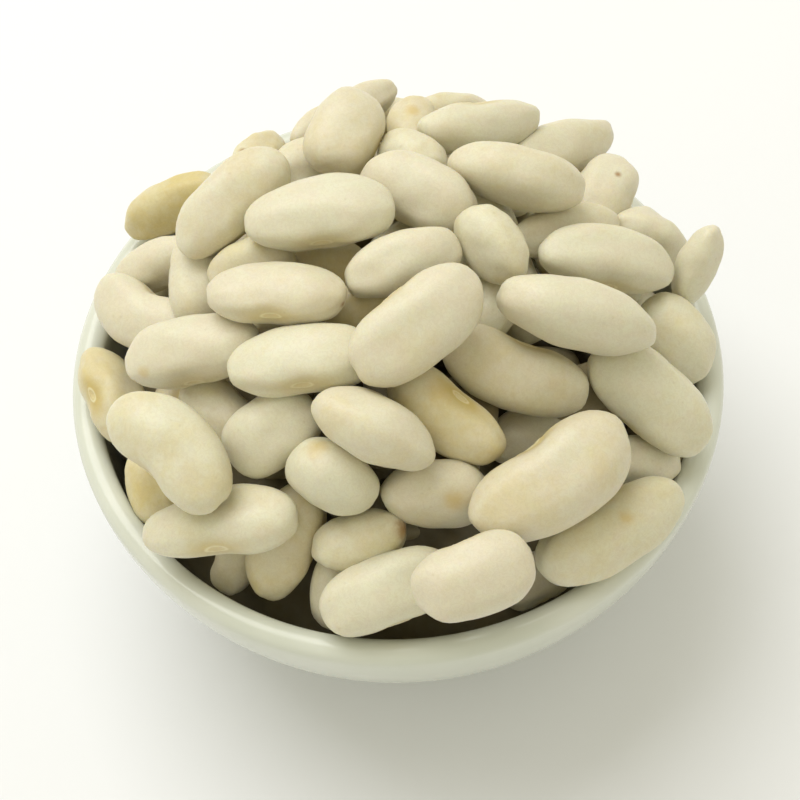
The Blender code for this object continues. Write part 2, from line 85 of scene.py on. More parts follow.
def sight_axes():
    """Right, up and away from the eye, as the picture shows them."""
    elevation, roll = math.radians(SIGHT_ELEVATION), math.radians(SIGHT_ROLL)
    away = np.array([0.0, math.cos(elevation), -math.sin(elevation)])
    level = np.array([1.0, 0.0, 0.0])
    rise = np.cross(level, away)
    right = math.cos(roll) * level + math.sin(roll) * rise
    up = math.cos(roll) * rise - math.sin(roll) * level
    return right, up, away


RIGHT, UP, AWAY = sight_axes()
EYE = AIM - SIGHT_DISTANCE * AWAY
print("the eye is at", [round(float(v), 1) for v in EYE], "mm")

# %% The camera
SENSOR_WIDTH = 36.0
lens = bpy.data.cameras.new("camera")
lens.sensor_width = SENSOR_WIDTH
lens.lens = PICTURE_FOCUS / PICTURE_SIDE * SENSOR_WIDTH
lens.clip_start = 0.01
camera = bpy.data.objects.new("camera", lens)
scene.collection.objects.link(camera)
turn = Matrix([RIGHT, UP, -AWAY]).transposed().to_4x4()
camera.matrix_world = Matrix.Translation(Vector(EYE * MM)) @ turn
scene.camera = camera
print("lens", round(lens.lens, 1), "mm")

# %% [markdown]
# ## The bowl
#
# A potter turns a bowl, and so do we: one profile, from the middle of the inside over the lip,
# down the outer wall and under the foot, is spun about the upright axis. The outer wall falls away
# faster than the inner one, which is full and round, so the wall is thickest low down, as in real
# pottery. The Screw modifier does the turning. It has to be applied before the piece is finished.

# %% Sizes of the bowl
RIM_RADIUS = 47.5
LIP = 1.75
LIP_HEIGHT = BOWL_HEIGHT - LIP
LIP_RADIUS = RIM_RADIUS - LIP
OUTER_DEPTH = 42.1
OUTER_BLUNT = 1.65
INNER_DEPTH = 33.25
INNER_BLUNT = 2.4
FOOT_RADIUS = 24.5
FOOT_WIDTH = 3.5
RECESS = 2.0
FOOT_ROUND = 0.5
LIP_SWELL = 0.5  # how much thicker the glaze makes the lip, on its inner side
SWELL_FADE = 4.0  # how far down the inner wall that thickness is gone


def inner_radius(height):
    """Radius of the bowl's inner wall at this height."""
    down = np.clip((LIP_HEIGHT - height) / INNER_DEPTH, 0, 1)
    return (RIM_RADIUS - 2 * LIP) * np.sqrt(np.clip(1 - down**INNER_BLUNT, 0, 1))


def arc(middle, radius, start, end, steps):
    """Points (out, up) on a circle, from one angle in degrees to another."""
    angles = np.radians(np.linspace(start, end, steps + 1))
    return [(middle[0] + radius * math.cos(a), middle[1] + radius * math.sin(a)) for a in angles]


# %% Profile of the bowl
WALL_STEPS = 40
LIP_STEPS = 20
FOOT_STEPS = 6
FOOT_TOP = (1 - (FOOT_RADIUS / RIM_RADIUS) ** 2) ** (1 / OUTER_BLUNT) * OUTER_DEPTH


def bowl_profile():
    """From the middle of the inside over the lip, down the outer wall and under the foot."""
    quarter = np.linspace(0, math.pi / 2, WALL_STEPS + 1)
    inside, lip, outside = [], [], []
    for down in INNER_DEPTH * np.cos(quarter):
        swell = LIP_SWELL * math.exp(-((down / SWELL_FADE) ** 2))
        inside.append((float(inner_radius(LIP_HEIGHT - down)) - swell, LIP_HEIGHT - down))
    half_wide = LIP + LIP_SWELL / 2
    for angle in np.radians(np.linspace(180, 0, LIP_STEPS + 1))[1:]:
        out = RIM_RADIUS - half_wide + half_wide * math.cos(angle)
        lip.append((out, LIP_HEIGHT + LIP * math.sin(angle)))
    for down in FOOT_TOP * np.sin(quarter[1:]):
        share = math.sqrt(1 - (down / OUTER_DEPTH) ** OUTER_BLUNT)
        outside.append((RIM_RADIUS * share, LIP_HEIGHT - down))
    outer_edge = FOOT_RADIUS - FOOT_ROUND
    inner_edge = FOOT_RADIUS - FOOT_WIDTH + FOOT_ROUND
    foot = arc((outer_edge, FOOT_ROUND), FOOT_ROUND, 0, -90, FOOT_STEPS)
    foot += arc((inner_edge, FOOT_ROUND), FOOT_ROUND, -90, -180, FOOT_STEPS)
    return inside + lip + outside + foot + [(inner_edge - FOOT_ROUND, RECESS), (0.0, RECESS)]


# %% Turn the bowl
BOWL_SIDES = 192


def make_plain(thing):
    """Replaces an object's mesh by what its modifiers make of it."""
    graph = bpy.context.evaluated_depsgraph_get()
    mesh = bpy.data.meshes.new_from_object(thing.evaluated_get(graph))
    thing.modifiers.clear()
    thing.data = mesh
    mesh.name = thing.name
    return thing


def turned(name, profile, sides):
    """A profile of (out, up) points in mm, turned about the upright axis."""
    mesh = bpy.data.meshes.new(name)
    points = [(out * MM, 0.0, up * MM) for out, up in profile]
    mesh.from_pydata(points, [(n, n + 1) for n in range(len(points) - 1)], [])
    thing = bpy.data.objects.new(name, mesh)
    scene.collection.objects.link(thing)
    screw = thing.modifiers.new("Turn", "SCREW")
    screw.angle = 2 * math.pi
    screw.steps = screw.render_steps = sides
    screw.use_merge_vertices = True
    screw.merge_threshold = 0.01 * MM
    screw.use_smooth_shade = True
    make_plain(thing)
    shape = bmesh.new()
    shape.from_mesh(thing.data)
    bmesh.ops.recalc_face_normals(shape, faces=shape.faces)
    shape.to_mesh(thing.data)
    shape.free()
    return thing


bowl = turned("porcelain_bowl", bowl_profile(), BOWL_SIDES)
tell(bowl, f"turned with {BOWL_SIDES} sides")

# %% [markdown]
# ## Which beans show
#
# Each bean that can be seen is one line: the pixel of its middle, its length and width in
# millimetres, the turn of its long axis in the picture, how far it has rolled about that axis
# (at 90 degrees we look at its back edge), and how far it stands out of the heap. The last value
# names its kind. Nature doesn't repeat itself, and these lines are what keeps the heap uneven.

# %% One line for each bean
KINDS = (
    "plain", "kidney", "lens", "heavy end", "heavy foot", "blunt", "long", "crumpled", "ridged",
)
BEND = 0.03  # rise of a bean's back over its width, where a row says no other


def seen(across, down, long, wide, turn, roll=0.0, lift=0.0, tip=None, bend=BEND, kind="plain"):
    return dict(
        pixel=(across, down), long=long, wide=wide, turn=turn, roll=roll, lift=lift, tip=tip,
        bend=bend, kind=kind,
    )


SEEN_BEANS = (
    # left side and back left
    seen(172, 206, long=15.2, wide=8.1, turn=28, roll=-30, bend=0.04),
    seen(235, 210, long=19.4, wide=9.8, turn=42, bend=0.03, kind="long"),
    seen(300, 168, long=11.5, wide=7.6, turn=30, lift=-2),
    seen(259, 159, long=8.0, wide=6.4, turn=50, lift=-1, tip=-48, kind="crumpled"),
    seen(158, 268, long=12.8, wide=7.6, turn=25, lift=-3),
    seen(195, 277, long=12.8, wide=8.2, turn=88, lift=-3, kind="blunt"),
    seen(152, 309, long=15.2, wide=9.4, turn=150, lift=-1, bend=0.10, kind="kidney"),
    seen(194, 353, long=18.4, wide=9.9, turn=10, roll=20, bend=0.06, kind="kidney"),
    seen(113, 396, long=14.2, wide=7.4, turn=-68, roll=50, lift=1, bend=0.06),
    # front left
    seen(173, 453, long=19.6, wide=11.0, turn=-45, lift=7, bend=0.10, kind="kidney"),
    seen(150, 492, long=11.8, wide=7.4, turn=108, lift=-4),
    seen(220, 522, long=20.9, wide=10.2, turn=8, roll=30, lift=4, bend=0.07, kind="heavy end"),
    seen(284, 541, long=16.4, wide=9.4, turn=68, lift=-6),
    seen(219, 411, long=12.6, wide=8.2, turn=-50, lift=-5),
    seen(272, 430, long=13.7, wide=10.2, turn=33, lift=-2, kind="blunt"),
    seen(240, 562, long=9.3, wide=6.3, turn=60, lift=-6),
    # front middle
    seen(373, 430, long=17.4, wide=8.5, turn=-27, roll=-90, lift=2, kind="ridged"),
    seen(334, 476, long=12.9, wide=8.0, turn=-24, roll=-60, kind="lens"),
    seen(360, 538, long=13.2, wide=7.7, turn=14, lift=-2, bend=0.0),
    seen(437, 495, long=14.4, wide=8.1, turn=-3, roll=-50, lift=-2, bend=0.0),
    seen(444, 421, long=18.0, wide=9.6, turn=144, roll=30, lift=-1, bend=0.06, kind="heavy end"),
    seen(471, 572, long=16.2, wide=10.6, turn=200, lift=7, bend=0.03, kind="blunt"),
    seen(387, 587, long=18.6, wide=9.8, turn=20, lift=1, bend=0.02, kind="blunt"),
    seen(337, 588, long=11.6, wide=7.0, turn=80, lift=-5),
    seen(534, 580, long=10.3, wide=7.3, turn=30, lift=-6),
    # front right and right side
    seen(548, 480, long=23.8, wide=12.8, turn=213, lift=4, bend=0.08, kind="heavy foot"),
    seen(611, 532, long=21.9, wide=10.2, turn=210, roll=15, lift=3, bend=0.03, kind="long"),
    seen(530, 434, long=13.2, wide=7.8, turn=10, lift=-7),
    seen(513, 371, long=20.8, wide=10.0, turn=158, roll=10, lift=1, bend=0.05, kind="long"),
    seen(647, 406, long=19.4, wide=10.7, turn=-40, lift=0.5, bend=0.04, kind="kidney"),
    seen(668, 470, long=12.7, wide=7.2, turn=-5, lift=-1),
    seen(676, 337, long=13.8, wide=9.4, turn=-62, lift=-1),
    seen(697, 266, long=12.0, wide=5.3, turn=68, roll=-60, lift=16, tip=25, bend=0.06),
    # top
    seen(417, 326, long=20.4, wide=10.8, turn=219, lift=4, bend=0.01, kind="blunt"),
    seen(578, 323, long=21.7, wide=8.9, turn=-16, roll=-80, lift=3, bend=0.02, kind="lens"),
    seen(606, 260, long=18.8, wide=9.4, turn=-8, roll=25, lift=3, bend=0.07, kind="crumpled"),
    seen(491, 245, long=11.8, wide=8.8, turn=-48, roll=-40, lift=2, bend=0.0, kind="crumpled"),
    seen(497, 300, long=11.2, wide=7.2, turn=70, lift=-6),
    seen(404, 264, long=16.2, wide=8.6, turn=18, bend=0.02),
    seen(318, 216, long=20.6, wide=10.4, turn=8, roll=14, lift=3, bend=0.04, kind="long"),
    seen(276, 294, long=18.8, wide=9.4, turn=-1, roll=30, lift=3, bend=0.05),
    seen(248, 261, long=12.6, wide=7.4, turn=20, lift=-3),
    seen(303, 362, long=20.2, wide=9.8, turn=7, roll=26, lift=1, bend=0.05, kind="long"),
    seen(335, 268, long=12.1, wide=7.3, turn=-20, lift=-7),
    seen(365, 306, long=11.9, wide=7.8, turn=30, lift=-6),
    # back
    seen(420, 192, long=16.4, wide=9.8, turn=-24, bend=0.02, kind="blunt"),
    seen(516, 181, long=19.3, wide=8.2, turn=-14, roll=-70, lift=3, kind="long"),
    seen(480, 128, long=17.6, wide=7.4, turn=186, lift=2, bend=0.08, kind="kidney"),
    seen(558, 147, long=16.4, wide=7.9, turn=20, lift=1, bend=0.0, kind="lens"),
    seen(605, 193, long=10.2, wide=8.9, turn=60, lift=-1, bend=0.0, kind="crumpled"),
    seen(565, 228, long=15.4, wide=7.6, turn=10, lift=-4),
    seen(648, 239, long=11.2, wide=7.9, turn=-30, lift=-1, kind="crumpled"),
    seen(349, 136, long=11.9, wide=10.2, turn=60, lift=2, bend=0.0, kind="blunt"),
    seen(345, 113, long=17.5, wide=6.0, turn=28, lift=2, bend=0.0),
    seen(412, 127, long=9.3, wide=7.0, turn=80, lift=-3),
    seen(447, 118, long=13.0, wide=6.8, turn=4, lift=-3),
    seen(407, 156, long=9.8, wide=7.6, turn=-30, lift=-2),
)
print(len(SEEN_BEANS), "beans show")

# %% [markdown]
# ## From the picture to the heap
#
# A pixel gives only a line of sight, and somewhere on that line the bean lies. The heap's own
# shape tells us where: its bean middles lie on a dome. We walk along the line until it goes
# through the dome, and put the bean there, turned as it is seen. A bean also follows the slope
# of the heap a little, which makes it look shorter, so it is made longer again.

# %% The dome
HEAP_HEIGHT = 24.0
HEAP_RADIUS = 46.0
HEAP_BLUNT = 2.6
HEAP_SHIFT = 4.0  # the heap leans back by this much


def dome(x, y):
    """Height of the surface on which the bean middles lie."""
    out = np.hypot(x, y - HEAP_SHIFT) / HEAP_RADIUS
    return BOWL_HEIGHT + HEAP_HEIGHT * (1 - out**HEAP_BLUNT)


def dome_normal(point):
    step = 0.5
    x, y = point[0], point[1]
    slope_x = (dome(x + step, y) - dome(x - step, y)) / (2 * step)
    slope_y = (dome(x, y + step) - dome(x, y - step)) / (2 * step)
    normal = np.array([-slope_x, -slope_y, 1.0])
    return normal / np.linalg.norm(normal)


# %% Lines of sight
SIGHT_RANGE = (0.65, 1.2)  # where a bean may lie on its sight line, over the distance to the bowl
SIGHT_POINTS = 1601


def sight_line(pixel):
    across = (pixel[0] - PICTURE_SIDE / 2) / PICTURE_FOCUS
    down = (pixel[1] - PICTURE_SIDE / 2) / PICTURE_FOCUS
    ray = AWAY + RIGHT * across - UP * down
    return ray / np.linalg.norm(ray)


def where_sight_meets_dome(pixel, lift):
    ray = sight_line(pixel)
    along = np.linspace(*SIGHT_RANGE, SIGHT_POINTS) * SIGHT_DISTANCE
    points = EYE + along[:, None] * ray
    over = points[:, 2] - dome(points[:, 0], points[:, 1])
    below = np.nonzero(over < 0)[0]
    first = below[0] if len(below) else int(np.argmin(over))
    return EYE + (along[first] - lift) * ray, ray


# %% Turning a bean
def frame_facing(toward, turn):
    """Axes along a bean, to its back and out of its flat side, when seen flat from `toward`."""
    right = RIGHT - toward * (RIGHT @ toward)
    right /= np.linalg.norm(right)
    up = np.cross(toward, right)
    along = math.cos(turn) * right + math.sin(turn) * up
    back = math.cos(turn) * up - math.sin(turn) * right
    return along, back, toward


def tilted(along, back, flat, tip, roll):
    along, flat = (
        math.cos(tip) * along + math.sin(tip) * flat,
        math.cos(tip) * flat - math.sin(tip) * along,
    )
    back, flat = (
        math.cos(roll) * back - math.sin(roll) * flat,
        math.cos(roll) * flat + math.sin(roll) * back,
    )
    return np.array([along, back, flat])


def lying_tip(place, along, toward):
    """A bean partly follows the slope of the heap under it."""
    share, most, shallow = 0.6, 40.0, 0.15
    normal = dome_normal(place)
    full = math.degrees(math.atan2(-(along @ normal), max(toward @ normal, shallow)))
    return math.radians(max(-most, min(most, share * full)))


# %% Laying the seen beans
LONGEST = 25.0
EDGE_ON = 45
THICK = 0.78  # thickness of a bean over its width, and a bean seen on edge shows its thickness
SIDEWAYS = 0.12  # how freely a seen bean slides across the sight line, along it being 1


def seen_bean(row):
    place, ray = where_sight_meets_dome(row["pixel"], row["lift"])
    turn, roll = math.radians(row["turn"]), math.radians(row["roll"])
    along, back, toward = frame_facing(-ray, turn)
    tip = lying_tip(place, along, toward) if row["tip"] is None else math.radians(row["tip"])
    length = min(LONGEST, row["long"] / math.cos(tip))
    width = row["wide"] if abs(row["roll"]) < EDGE_ON else row["wide"] / THICK
    axes = tilted(along, back, toward, tip, roll)
    form = dict(length=length, width=width, bend=row["bend"], kind=row["kind"])
    return dict(place=place, axes=axes, ray=ray, slide=SIDEWAYS, **form)


laid = [seen_bean(row) for row in SEEN_BEANS]
print("bean lengths from", round(min(b["length"] for b in laid), 1), "to", LONGEST, "mm")

# %% [markdown]
# ## The form of one bean
#
# A kidney bean is a blunt egg whose middle line is bent, with a hollow at its eye, the scar
# where it hung in the pod. We give the form as a rule that takes a direction and answers with a
# point. The same rule serves the settling below, with a few points, and the finished meshes.

# %% A bean as a rule
BEND_LEVEL = 0.45  # keeps a bent bean's middle where a straight one has it
NOTCH = 0.02  # depth of the hollow at its eye over its width, which grows with the bend
NOTCH_SHARE = 0.6
NOTCH_REACH = 0.28
BLUNT = 2.25


def half_sizes(bean):
    return np.array([bean["length"], bean["width"], bean["width"] * THICK]) / 2


def blunt_egg(directions, blunt=BLUNT):
    reach = (np.abs(directions) ** blunt).sum(axis=1) ** (-1 / blunt)
    return (directions * reach[:, None]).T


def bean_points(bean, directions):
    """The bean's surface along directions given in its own frame, about its middle."""
    x, y, z = blunt_egg(directions)
    half = half_sizes(bean)
    rise = bean["bend"] * bean["width"] * (BEND_LEVEL - x * x)
    deep = (NOTCH + NOTCH_SHARE * bean["bend"]) * bean["width"]
    hollow = deep * np.exp(-((x / NOTCH_REACH) ** 2)) * np.clip(-y, 0, 1) ** 2
    local = np.stack([x * half[0], y * half[1] + rise + hollow, z * half[2]], axis=1)
    return local @ bean["axes"]


def even_directions(count):
    number = np.arange(count) + 0.5
    height = 1 - 2 * number / count
    angle = math.pi * (1 + math.sqrt(5)) * number
    flat = np.sqrt(1 - height**2)
    return np.stack([height, flat * np.cos(angle), flat * np.sin(angle)], axis=1)


# %% [markdown]
# ## Settling the heap
#
# Beans laid as given stand in each other here and there. Real ones can't. A rigid-body simulation
# would pour them into some new heap, but we want this one, so we settle it gently instead: beans
# that overlap push each other apart, nearly always along their lines of sight, which keeps the
# picture, and a bean that touches nothing sinks until it does. The bowl pushes back too.

# %% How deep two beans overlap
def depth_inside(offsets, bean):
    """How deep points about a bean's middle lie in it, and the way out for each, in world axes."""
    local = offsets @ bean["axes"].T
    half = half_sizes(bean)
    bend = bean["bend"] * bean["width"]
    x = local[:, 0] / half[0]
    y = (local[:, 1] - bend * (BEND_LEVEL - x * x)) / half[1]
    z = local[:, 2] / half[2]
    level = np.sqrt(x * x + y * y + z * z) + 1e-9
    slope_x = (x + 2 * bend * x * y / half[1]) / half[0]
    slope = np.stack([slope_x, y / half[1], z / half[2]], axis=1)
    slope /= level[:, None]
    steep = np.linalg.norm(slope, axis=1)
    return (1 - level) / steep, (slope / steep[:, None]) @ bean["axes"]


def overlap(a, b):
    """How deep two beans lie in each other, and the way in which the first leaves the second."""
    apart = a["place"] - b["place"]
    deepest, way = -LONGEST, None
    for mover, other, offset, sign in ((a, b, apart, 1), (b, a, -apart, -1)):
        depth, outward = depth_inside(mover["skin"] + offset, other)
        worst = depth.max()
        if worst > deepest:
            weight = np.clip(depth, 0, None) ** 2
            mean = weight @ outward if worst > 0 else outward[depth.argmax()]
            deepest, way = worst, sign * mean / (np.linalg.norm(mean) + 1e-9)
    return deepest, way


def near(a, b):
    return np.linalg.norm(a["place"] - b["place"]) < (a["length"] + b["length"]) / 2


def squeeze(bean, others):
    """How deep a bean lies in the one that it overlaps most."""
    close = [other for other in others if other is not bean and near(bean, other)]
    return max((overlap(bean, other)[0] for other in close), default=0)


# %% How the bowl pushes back
BEAN_CLEAR = 0.6  # gap between a bean and the bowl
LIP_BELOW = 1.0  # this far down from the lip's middle a point still meets the lip, not the wall
WALL_IN, WALL_UP = 0.8, 0.6  # the wall pushes a bean inward and up
BOWL_YIELD = 0.25  # the bowl moves a bean off its sight line too, by this share
EASE = 0.8  # share of an overlap that one step mends


def clear_of_bowl(bean):
    """Moves a bean off the bowl's lip and inner wall. Returns whether it rested on them."""
    points = bean["skin"] + bean["place"]
    out = np.hypot(points[:, 0], points[:, 1])
    outward = points[:, :2] / (out[:, None] + 1e-9)
    up, over = points[:, 2] - LIP_HEIGHT, out - LIP_RADIUS
    away = np.hypot(up, over) + 1e-9
    on_lip = up > -LIP_BELOW
    wall = out - (inner_radius(points[:, 2]) - BEAN_CLEAR)
    depth = np.where(on_lip, LIP + BEAN_CLEAR - away, wall)
    lip_way = np.column_stack([outward * (over / away)[:, None], up / away])
    wall_way = np.column_stack([-WALL_IN * outward, np.full(len(out), WALL_UP)])
    worst = int(depth.argmax())
    if depth[worst] <= 0:
        return False
    way = lip_way[worst] if on_lip[worst] else wall_way[worst]
    move = (bean["free"] + BOWL_YIELD * np.eye(3)) @ way
    bean["place"] = bean["place"] + EASE * depth[worst] / (way @ move) * move
    return True


# %% Settle
SETTLE_STEPS = 120
SETTLE_POINTS = 150
SINK_STEP = 0.24
SINK_MOST = 4.0
TOUCH = 0.15  # beans nearer than this hold each other up
SETTLED = 0.05


def freedom(bean):
    """How freely a bean moves each way: a seen bean goes along its sight line."""
    return bean["slide"] * np.eye(3) + (1 - bean["slide"]) * np.outer(bean["ray"], bean["ray"])


def settle(beans, fixed, steps=SETTLE_STEPS):
    """Parts the beans from each other and from the fixed ones. One that touches nothing sinks."""
    directions = even_directions(SETTLE_POINTS)
    for bean in beans:
        bean.update(skin=bean_points(bean, directions), free=freedom(bean), sunk=0.0)
    for bean in fixed:
        bean["free"] = np.zeros((3, 3))
    for _ in range(steps):
        held, worst = set(), 0.0
        for i, a in enumerate(beans):
            for b in beans[i + 1 :] + fixed:
                if not near(a, b):
                    continue
                deep, way = overlap(a, b)
                worst = max(worst, deep)
                if deep > -TOUCH:
                    held |= {id(a), id(b)}
                if deep > 0:
                    move_a, move_b = a["free"] @ way, b["free"] @ way
                    share = EASE * deep / (way @ (move_a + move_b))
                    a["place"] = a["place"] + share * move_a
                    b["place"] = b["place"] - share * move_b
        for bean in beans:
            if clear_of_bowl(bean):
                held.add(id(bean))
            if id(bean) not in held and bean["sunk"] < SINK_MOST:
                bean["place"] = bean["place"] + SINK_STEP * bean["ray"]
                bean["sunk"] += SINK_STEP
        if worst < SETTLED and len(held) >= len(beans):
            break
    return beans


shown = settle(laid, [])
worst_squeeze = max(squeeze(bean, shown) for bean in shown)
print("seen beans settled, the worst overlap is", round(worst_squeeze, 2), "mm")

# %% [markdown]
# ## The beans that nobody saw
#
# The picture shows the heap from the front only, and it has to be a heap from behind as well. We
# try many places there at random, with a fixed seed so that they come out the same each time. A
# bean starts on the dome and is let down until it has room and the seen beans cover it, because
# one that stood out would change the outline that the picture shows. Then all of them settle
# round the seen ones, which stay put.

# %% Would the picture show it?
SIGHT_STEP = 2.0
SIGHT_REACH = 60.0


def share_in_sight(bean, others):
    """How much of a bean's near side the eye sees past the others."""
    toward = (EYE - bean["place"]) / np.linalg.norm(EYE - bean["place"])
    points = (bean["skin"] + bean["place"])[bean["skin"] @ toward > 0]
    covered = np.zeros(len(points), bool)
    ahead = np.arange(SIGHT_STEP, SIGHT_REACH, SIGHT_STEP)
    for other in others:
        apart = other["place"] - bean["place"]
        beside = np.linalg.norm(apart - (apart @ toward) * toward)
        if apart @ toward > 0 and beside < LONGEST:
            offsets = (points - other["place"])[:, None] + ahead[:, None] * toward
            deep = depth_inside(offsets.reshape(-1, 3), other)[0].reshape(len(points), -1)
            covered |= deep.max(axis=1) > 0
    return 1 - covered.mean()


def reach_out(bean):
    """How far a bean reaches from the bowl's axis."""
    points = bean["skin"] + bean["place"]
    return np.hypot(points[:, 0], points[:, 1]).max()


# %% Let beans down behind
HIDDEN_TRIES = 250
HIDDEN_REACH = 41.0  # none starts farther from the axis
HIDDEN_FRONT = -2.0  # nor nearer to the eye than this
HIDDEN_LENGTHS = (15.0, 19.0)
HIDDEN_WIDTHS = (8.0, 9.5)
HIDDEN_BEND = 0.05
HIDDEN_ROLL = 0.5
HIDDEN_STEP = 1.0
HIDDEN_DEEP = 9.0  # none is let down by more than this
HIDDEN_LOWEST = 38.0
HIDDEN_APART = 8.0  # least distance between its middle and another bean's
HIDDEN_SHOWS = 0.2  # the picture sees no more than this share of one
HIDDEN_SEED = 11


def random_bean(draw, place, lengths, widths, roll_spread):
    """A bean that lies on the dome's slope, turned and rolled by chance."""
    turn, roll = draw.uniform(0, math.pi), draw.normal(0, roll_spread)
    length, width = draw.uniform(*lengths), draw.uniform(*widths)
    normal = dome_normal(place)
    axes = tilted(*frame_facing(normal, turn), 0.0, roll)
    bean = dict(place=place, axes=axes, ray=-normal, slide=1.0, length=length, width=width)
    bean["bend"] = HIDDEN_BEND
    bean["skin"] = bean_points(bean, even_directions(SETTLE_POINTS))
    return bean


def apart(bean, others):
    return min(np.linalg.norm(bean["place"] - other["place"]) for other in others) > HIDDEN_APART


def hide(bean, beans, shown):
    """Lowers a bean until it has room and is out of sight. Returns whether it found a place."""
    lowest = max(bean["place"][2] - HIDDEN_DEEP, HIDDEN_LOWEST)
    while not apart(bean, beans + shown) or share_in_sight(bean, shown) > HIDDEN_SHOWS:
        bean["place"] = bean["place"] - np.array([0.0, 0.0, HIDDEN_STEP])
        if bean["place"][2] < lowest:
            return False
    return True


def hidden_beans(shown):
    draw = np.random.default_rng(HIDDEN_SEED)
    beans = []
    for _ in range(HIDDEN_TRIES):
        x, y = draw.uniform(-HIDDEN_REACH, HIDDEN_REACH), draw.uniform(HIDDEN_FRONT, HIDDEN_REACH)
        place = np.array([x, y, float(dome(x, y))])
        bean = random_bean(draw, place, HIDDEN_LENGTHS, HIDDEN_WIDTHS, HIDDEN_ROLL)
        if math.hypot(x, y) < HIDDEN_REACH and hide(bean, beans, shown):
            beans.append(bean)
    return beans


# %% Settle them round the seen ones
HIDDEN_SQUEEZE = 1.0  # a hidden bean that still overlaps by more than this is left out
HIDDEN_SLACK = 0.1

heap = list(shown)
for bean in settle(hidden_beans(shown), shown):
    fits = squeeze(bean, heap) < HIDDEN_SQUEEZE and reach_out(bean) < RIM_RADIUS
    if fits and share_in_sight(bean, shown) < HIDDEN_SHOWS + HIDDEN_SLACK:
        heap.append(bean)
print(len(heap) - len(shown), "beans added behind")

# %% [markdown]
# Between the beans of the top layer we look down on the next one, and into dark gaps below that.
# So there is a second layer, laid and settled in the same way one bean's thickness deeper. Below
# it a core fills the bowl, which no one sees, but no light may come up from an empty bowl either.
# Both wear the bean skin with painted shade, the core the darkest, so that the gaps look deep.

# %% The layer below
UNDER_RINGS = ((4, 6.0), (9, 14.5), (14, 23.0), (18, 31.0), (20, 37.0))
UNDER_DEPTH = 9.5
UNDER_LOWEST = 33.0
UNDER_LENGTHS = (13.0, 18.0)
UNDER_WIDTHS = (7.0, 9.0)
UNDER_SQUEEZE = 1.5
UNDER_COVER = 5.0  # the middle of a lower bean lies at least this deep under the dome
UNDER_STEPS = 40
UNDER_FRONT = -20.0  # in front of this, by the wall, one looks into dark gaps with no bean
UNDER_NEAR_WALL = 30.0
UNDER_STRAY = 0.3  # how far a lower bean strays along its ring, in places
UNDER_SEED = 5


def beans_below():
    draw = np.random.default_rng(UNDER_SEED)
    beans = []
    for count, radius in UNDER_RINGS:
        for number in range(count):
            angle = 2 * math.pi * (number + draw.uniform(-UNDER_STRAY, UNDER_STRAY)) / count
            x, y = radius * math.cos(angle), radius * math.sin(angle)
            place = np.array([x, y, max(UNDER_LOWEST, dome(x, y) - UNDER_DEPTH)])
            bean = random_bean(draw, place, UNDER_LENGTHS, UNDER_WIDTHS, HIDDEN_ROLL)
            bean["ray"] = np.array([0.0, 0.0, -1.0])
            beans.append(bean)
    return beans


def lies_below(bean):
    x, y, z = bean["place"]
    by_the_wall = y < UNDER_FRONT and math.hypot(x, y) > UNDER_NEAR_WALL
    return dome(x, y) - z > UNDER_COVER and not by_the_wall and squeeze(bean, heap) < UNDER_SQUEEZE


lower = [bean for bean in settle(beans_below(), heap, UNDER_STEPS) if lies_below(bean)]
print(len(lower), "beans in the layer below")

# %% [markdown]
# ## The shapes of bean
#
# No two beans are alike, but they fall into kinds: the strongly bent kidney, the slim long one,
# the one like a lens, the one with a heavy end, and one that dried crumpled. We model each kind
# once, as a mesh one unit in half-length, half-width and half-thickness, and stretch it to each
# bean's own size later. The mesh lines crowd together round the eye, where the fine relief is.

# %% The grid of directions
RINGS = 34
SIDES = 38
CROWD = 0.62  # how far the mesh lines draw together at the eye


def crowded(count, closed):
    """Evenly spaced angles from 0 to a full turn, drawn together about its middle."""
    even = np.linspace(0, 2 * math.pi, count, endpoint=closed)
    return even + CROWD * np.sin(even)


def grid_directions():
    """Directions by rings about the bean's long axis, with one point at each end."""
    along = crowded(RINGS, True)[1:-1] / 2
    around = crowded(SIDES, False) + math.pi / 2
    rows = []
    for angle in along:
        flat = math.sin(angle)
        rows.append(np.column_stack([
            np.full(SIDES, -math.cos(angle)), flat * np.sin(around), flat * np.cos(around)
        ]))
    ends = np.array([[-1.0, 0.0, 0.0]]), np.array([[1.0, 0.0, 0.0]])
    return np.concatenate([ends[0], *rows, ends[1]])


def grid_faces():
    last = (RINGS - 2) * SIDES + 1
    faces = []
    for side in range(SIDES):
        after = (side + 1) % SIDES
        faces.append((0, 1 + side, 1 + after))
        faces.append((last, last - SIDES + after, last - SIDES + side))
        for ring in range(RINGS - 3):
            low, high = 1 + ring * SIDES, 1 + (ring + 1) * SIDES
            faces.append((low + side, high + side, high + after, low + after))
    return faces


# %% What makes a kind
FORMS = {
    "plain": dict(fat=0.03),
    "kidney": dict(waist=0.01, blunt=0.15),
    "lens": dict(taper=0.16, fat=-0.05, ridge=0.02),
    "ridged": dict(taper=0.16, fat=-0.05, ridge=0.10),
    "heavy end": dict(fat=0.10, waist=0.05),
    "heavy foot": dict(fat=-0.10),
    "blunt": dict(blunt=0.25, fat=-0.04),
    "long": dict(fat=0.04, blunt=0.1),
    "crumpled": dict(lumps=0.035, taper=0.05),
}
EYE_LONG = 0.125  # half-length of the eye over half the bean's length
EYE_WIDE = 0.13
EYE_RIM = 0.035
EYE_PIT = 0.02
SEAM = 0.012


def bump_at(value, middle, reach):
    return np.exp(-(((value - middle) / reach) ** 2))


def lumpy(x, y, z, seed):
    """A few slow waves over the bean, so that no side of it is a perfect curve."""
    draw = np.random.default_rng(seed)
    total = np.zeros(len(x))
    for _ in range(7):
        way, phase = draw.normal(0, 2.2, 3), draw.uniform(0, 2 * math.pi)
        total += np.sin(way[0] * x + way[1] * y + way[2] * z + phase) / 7
    return total


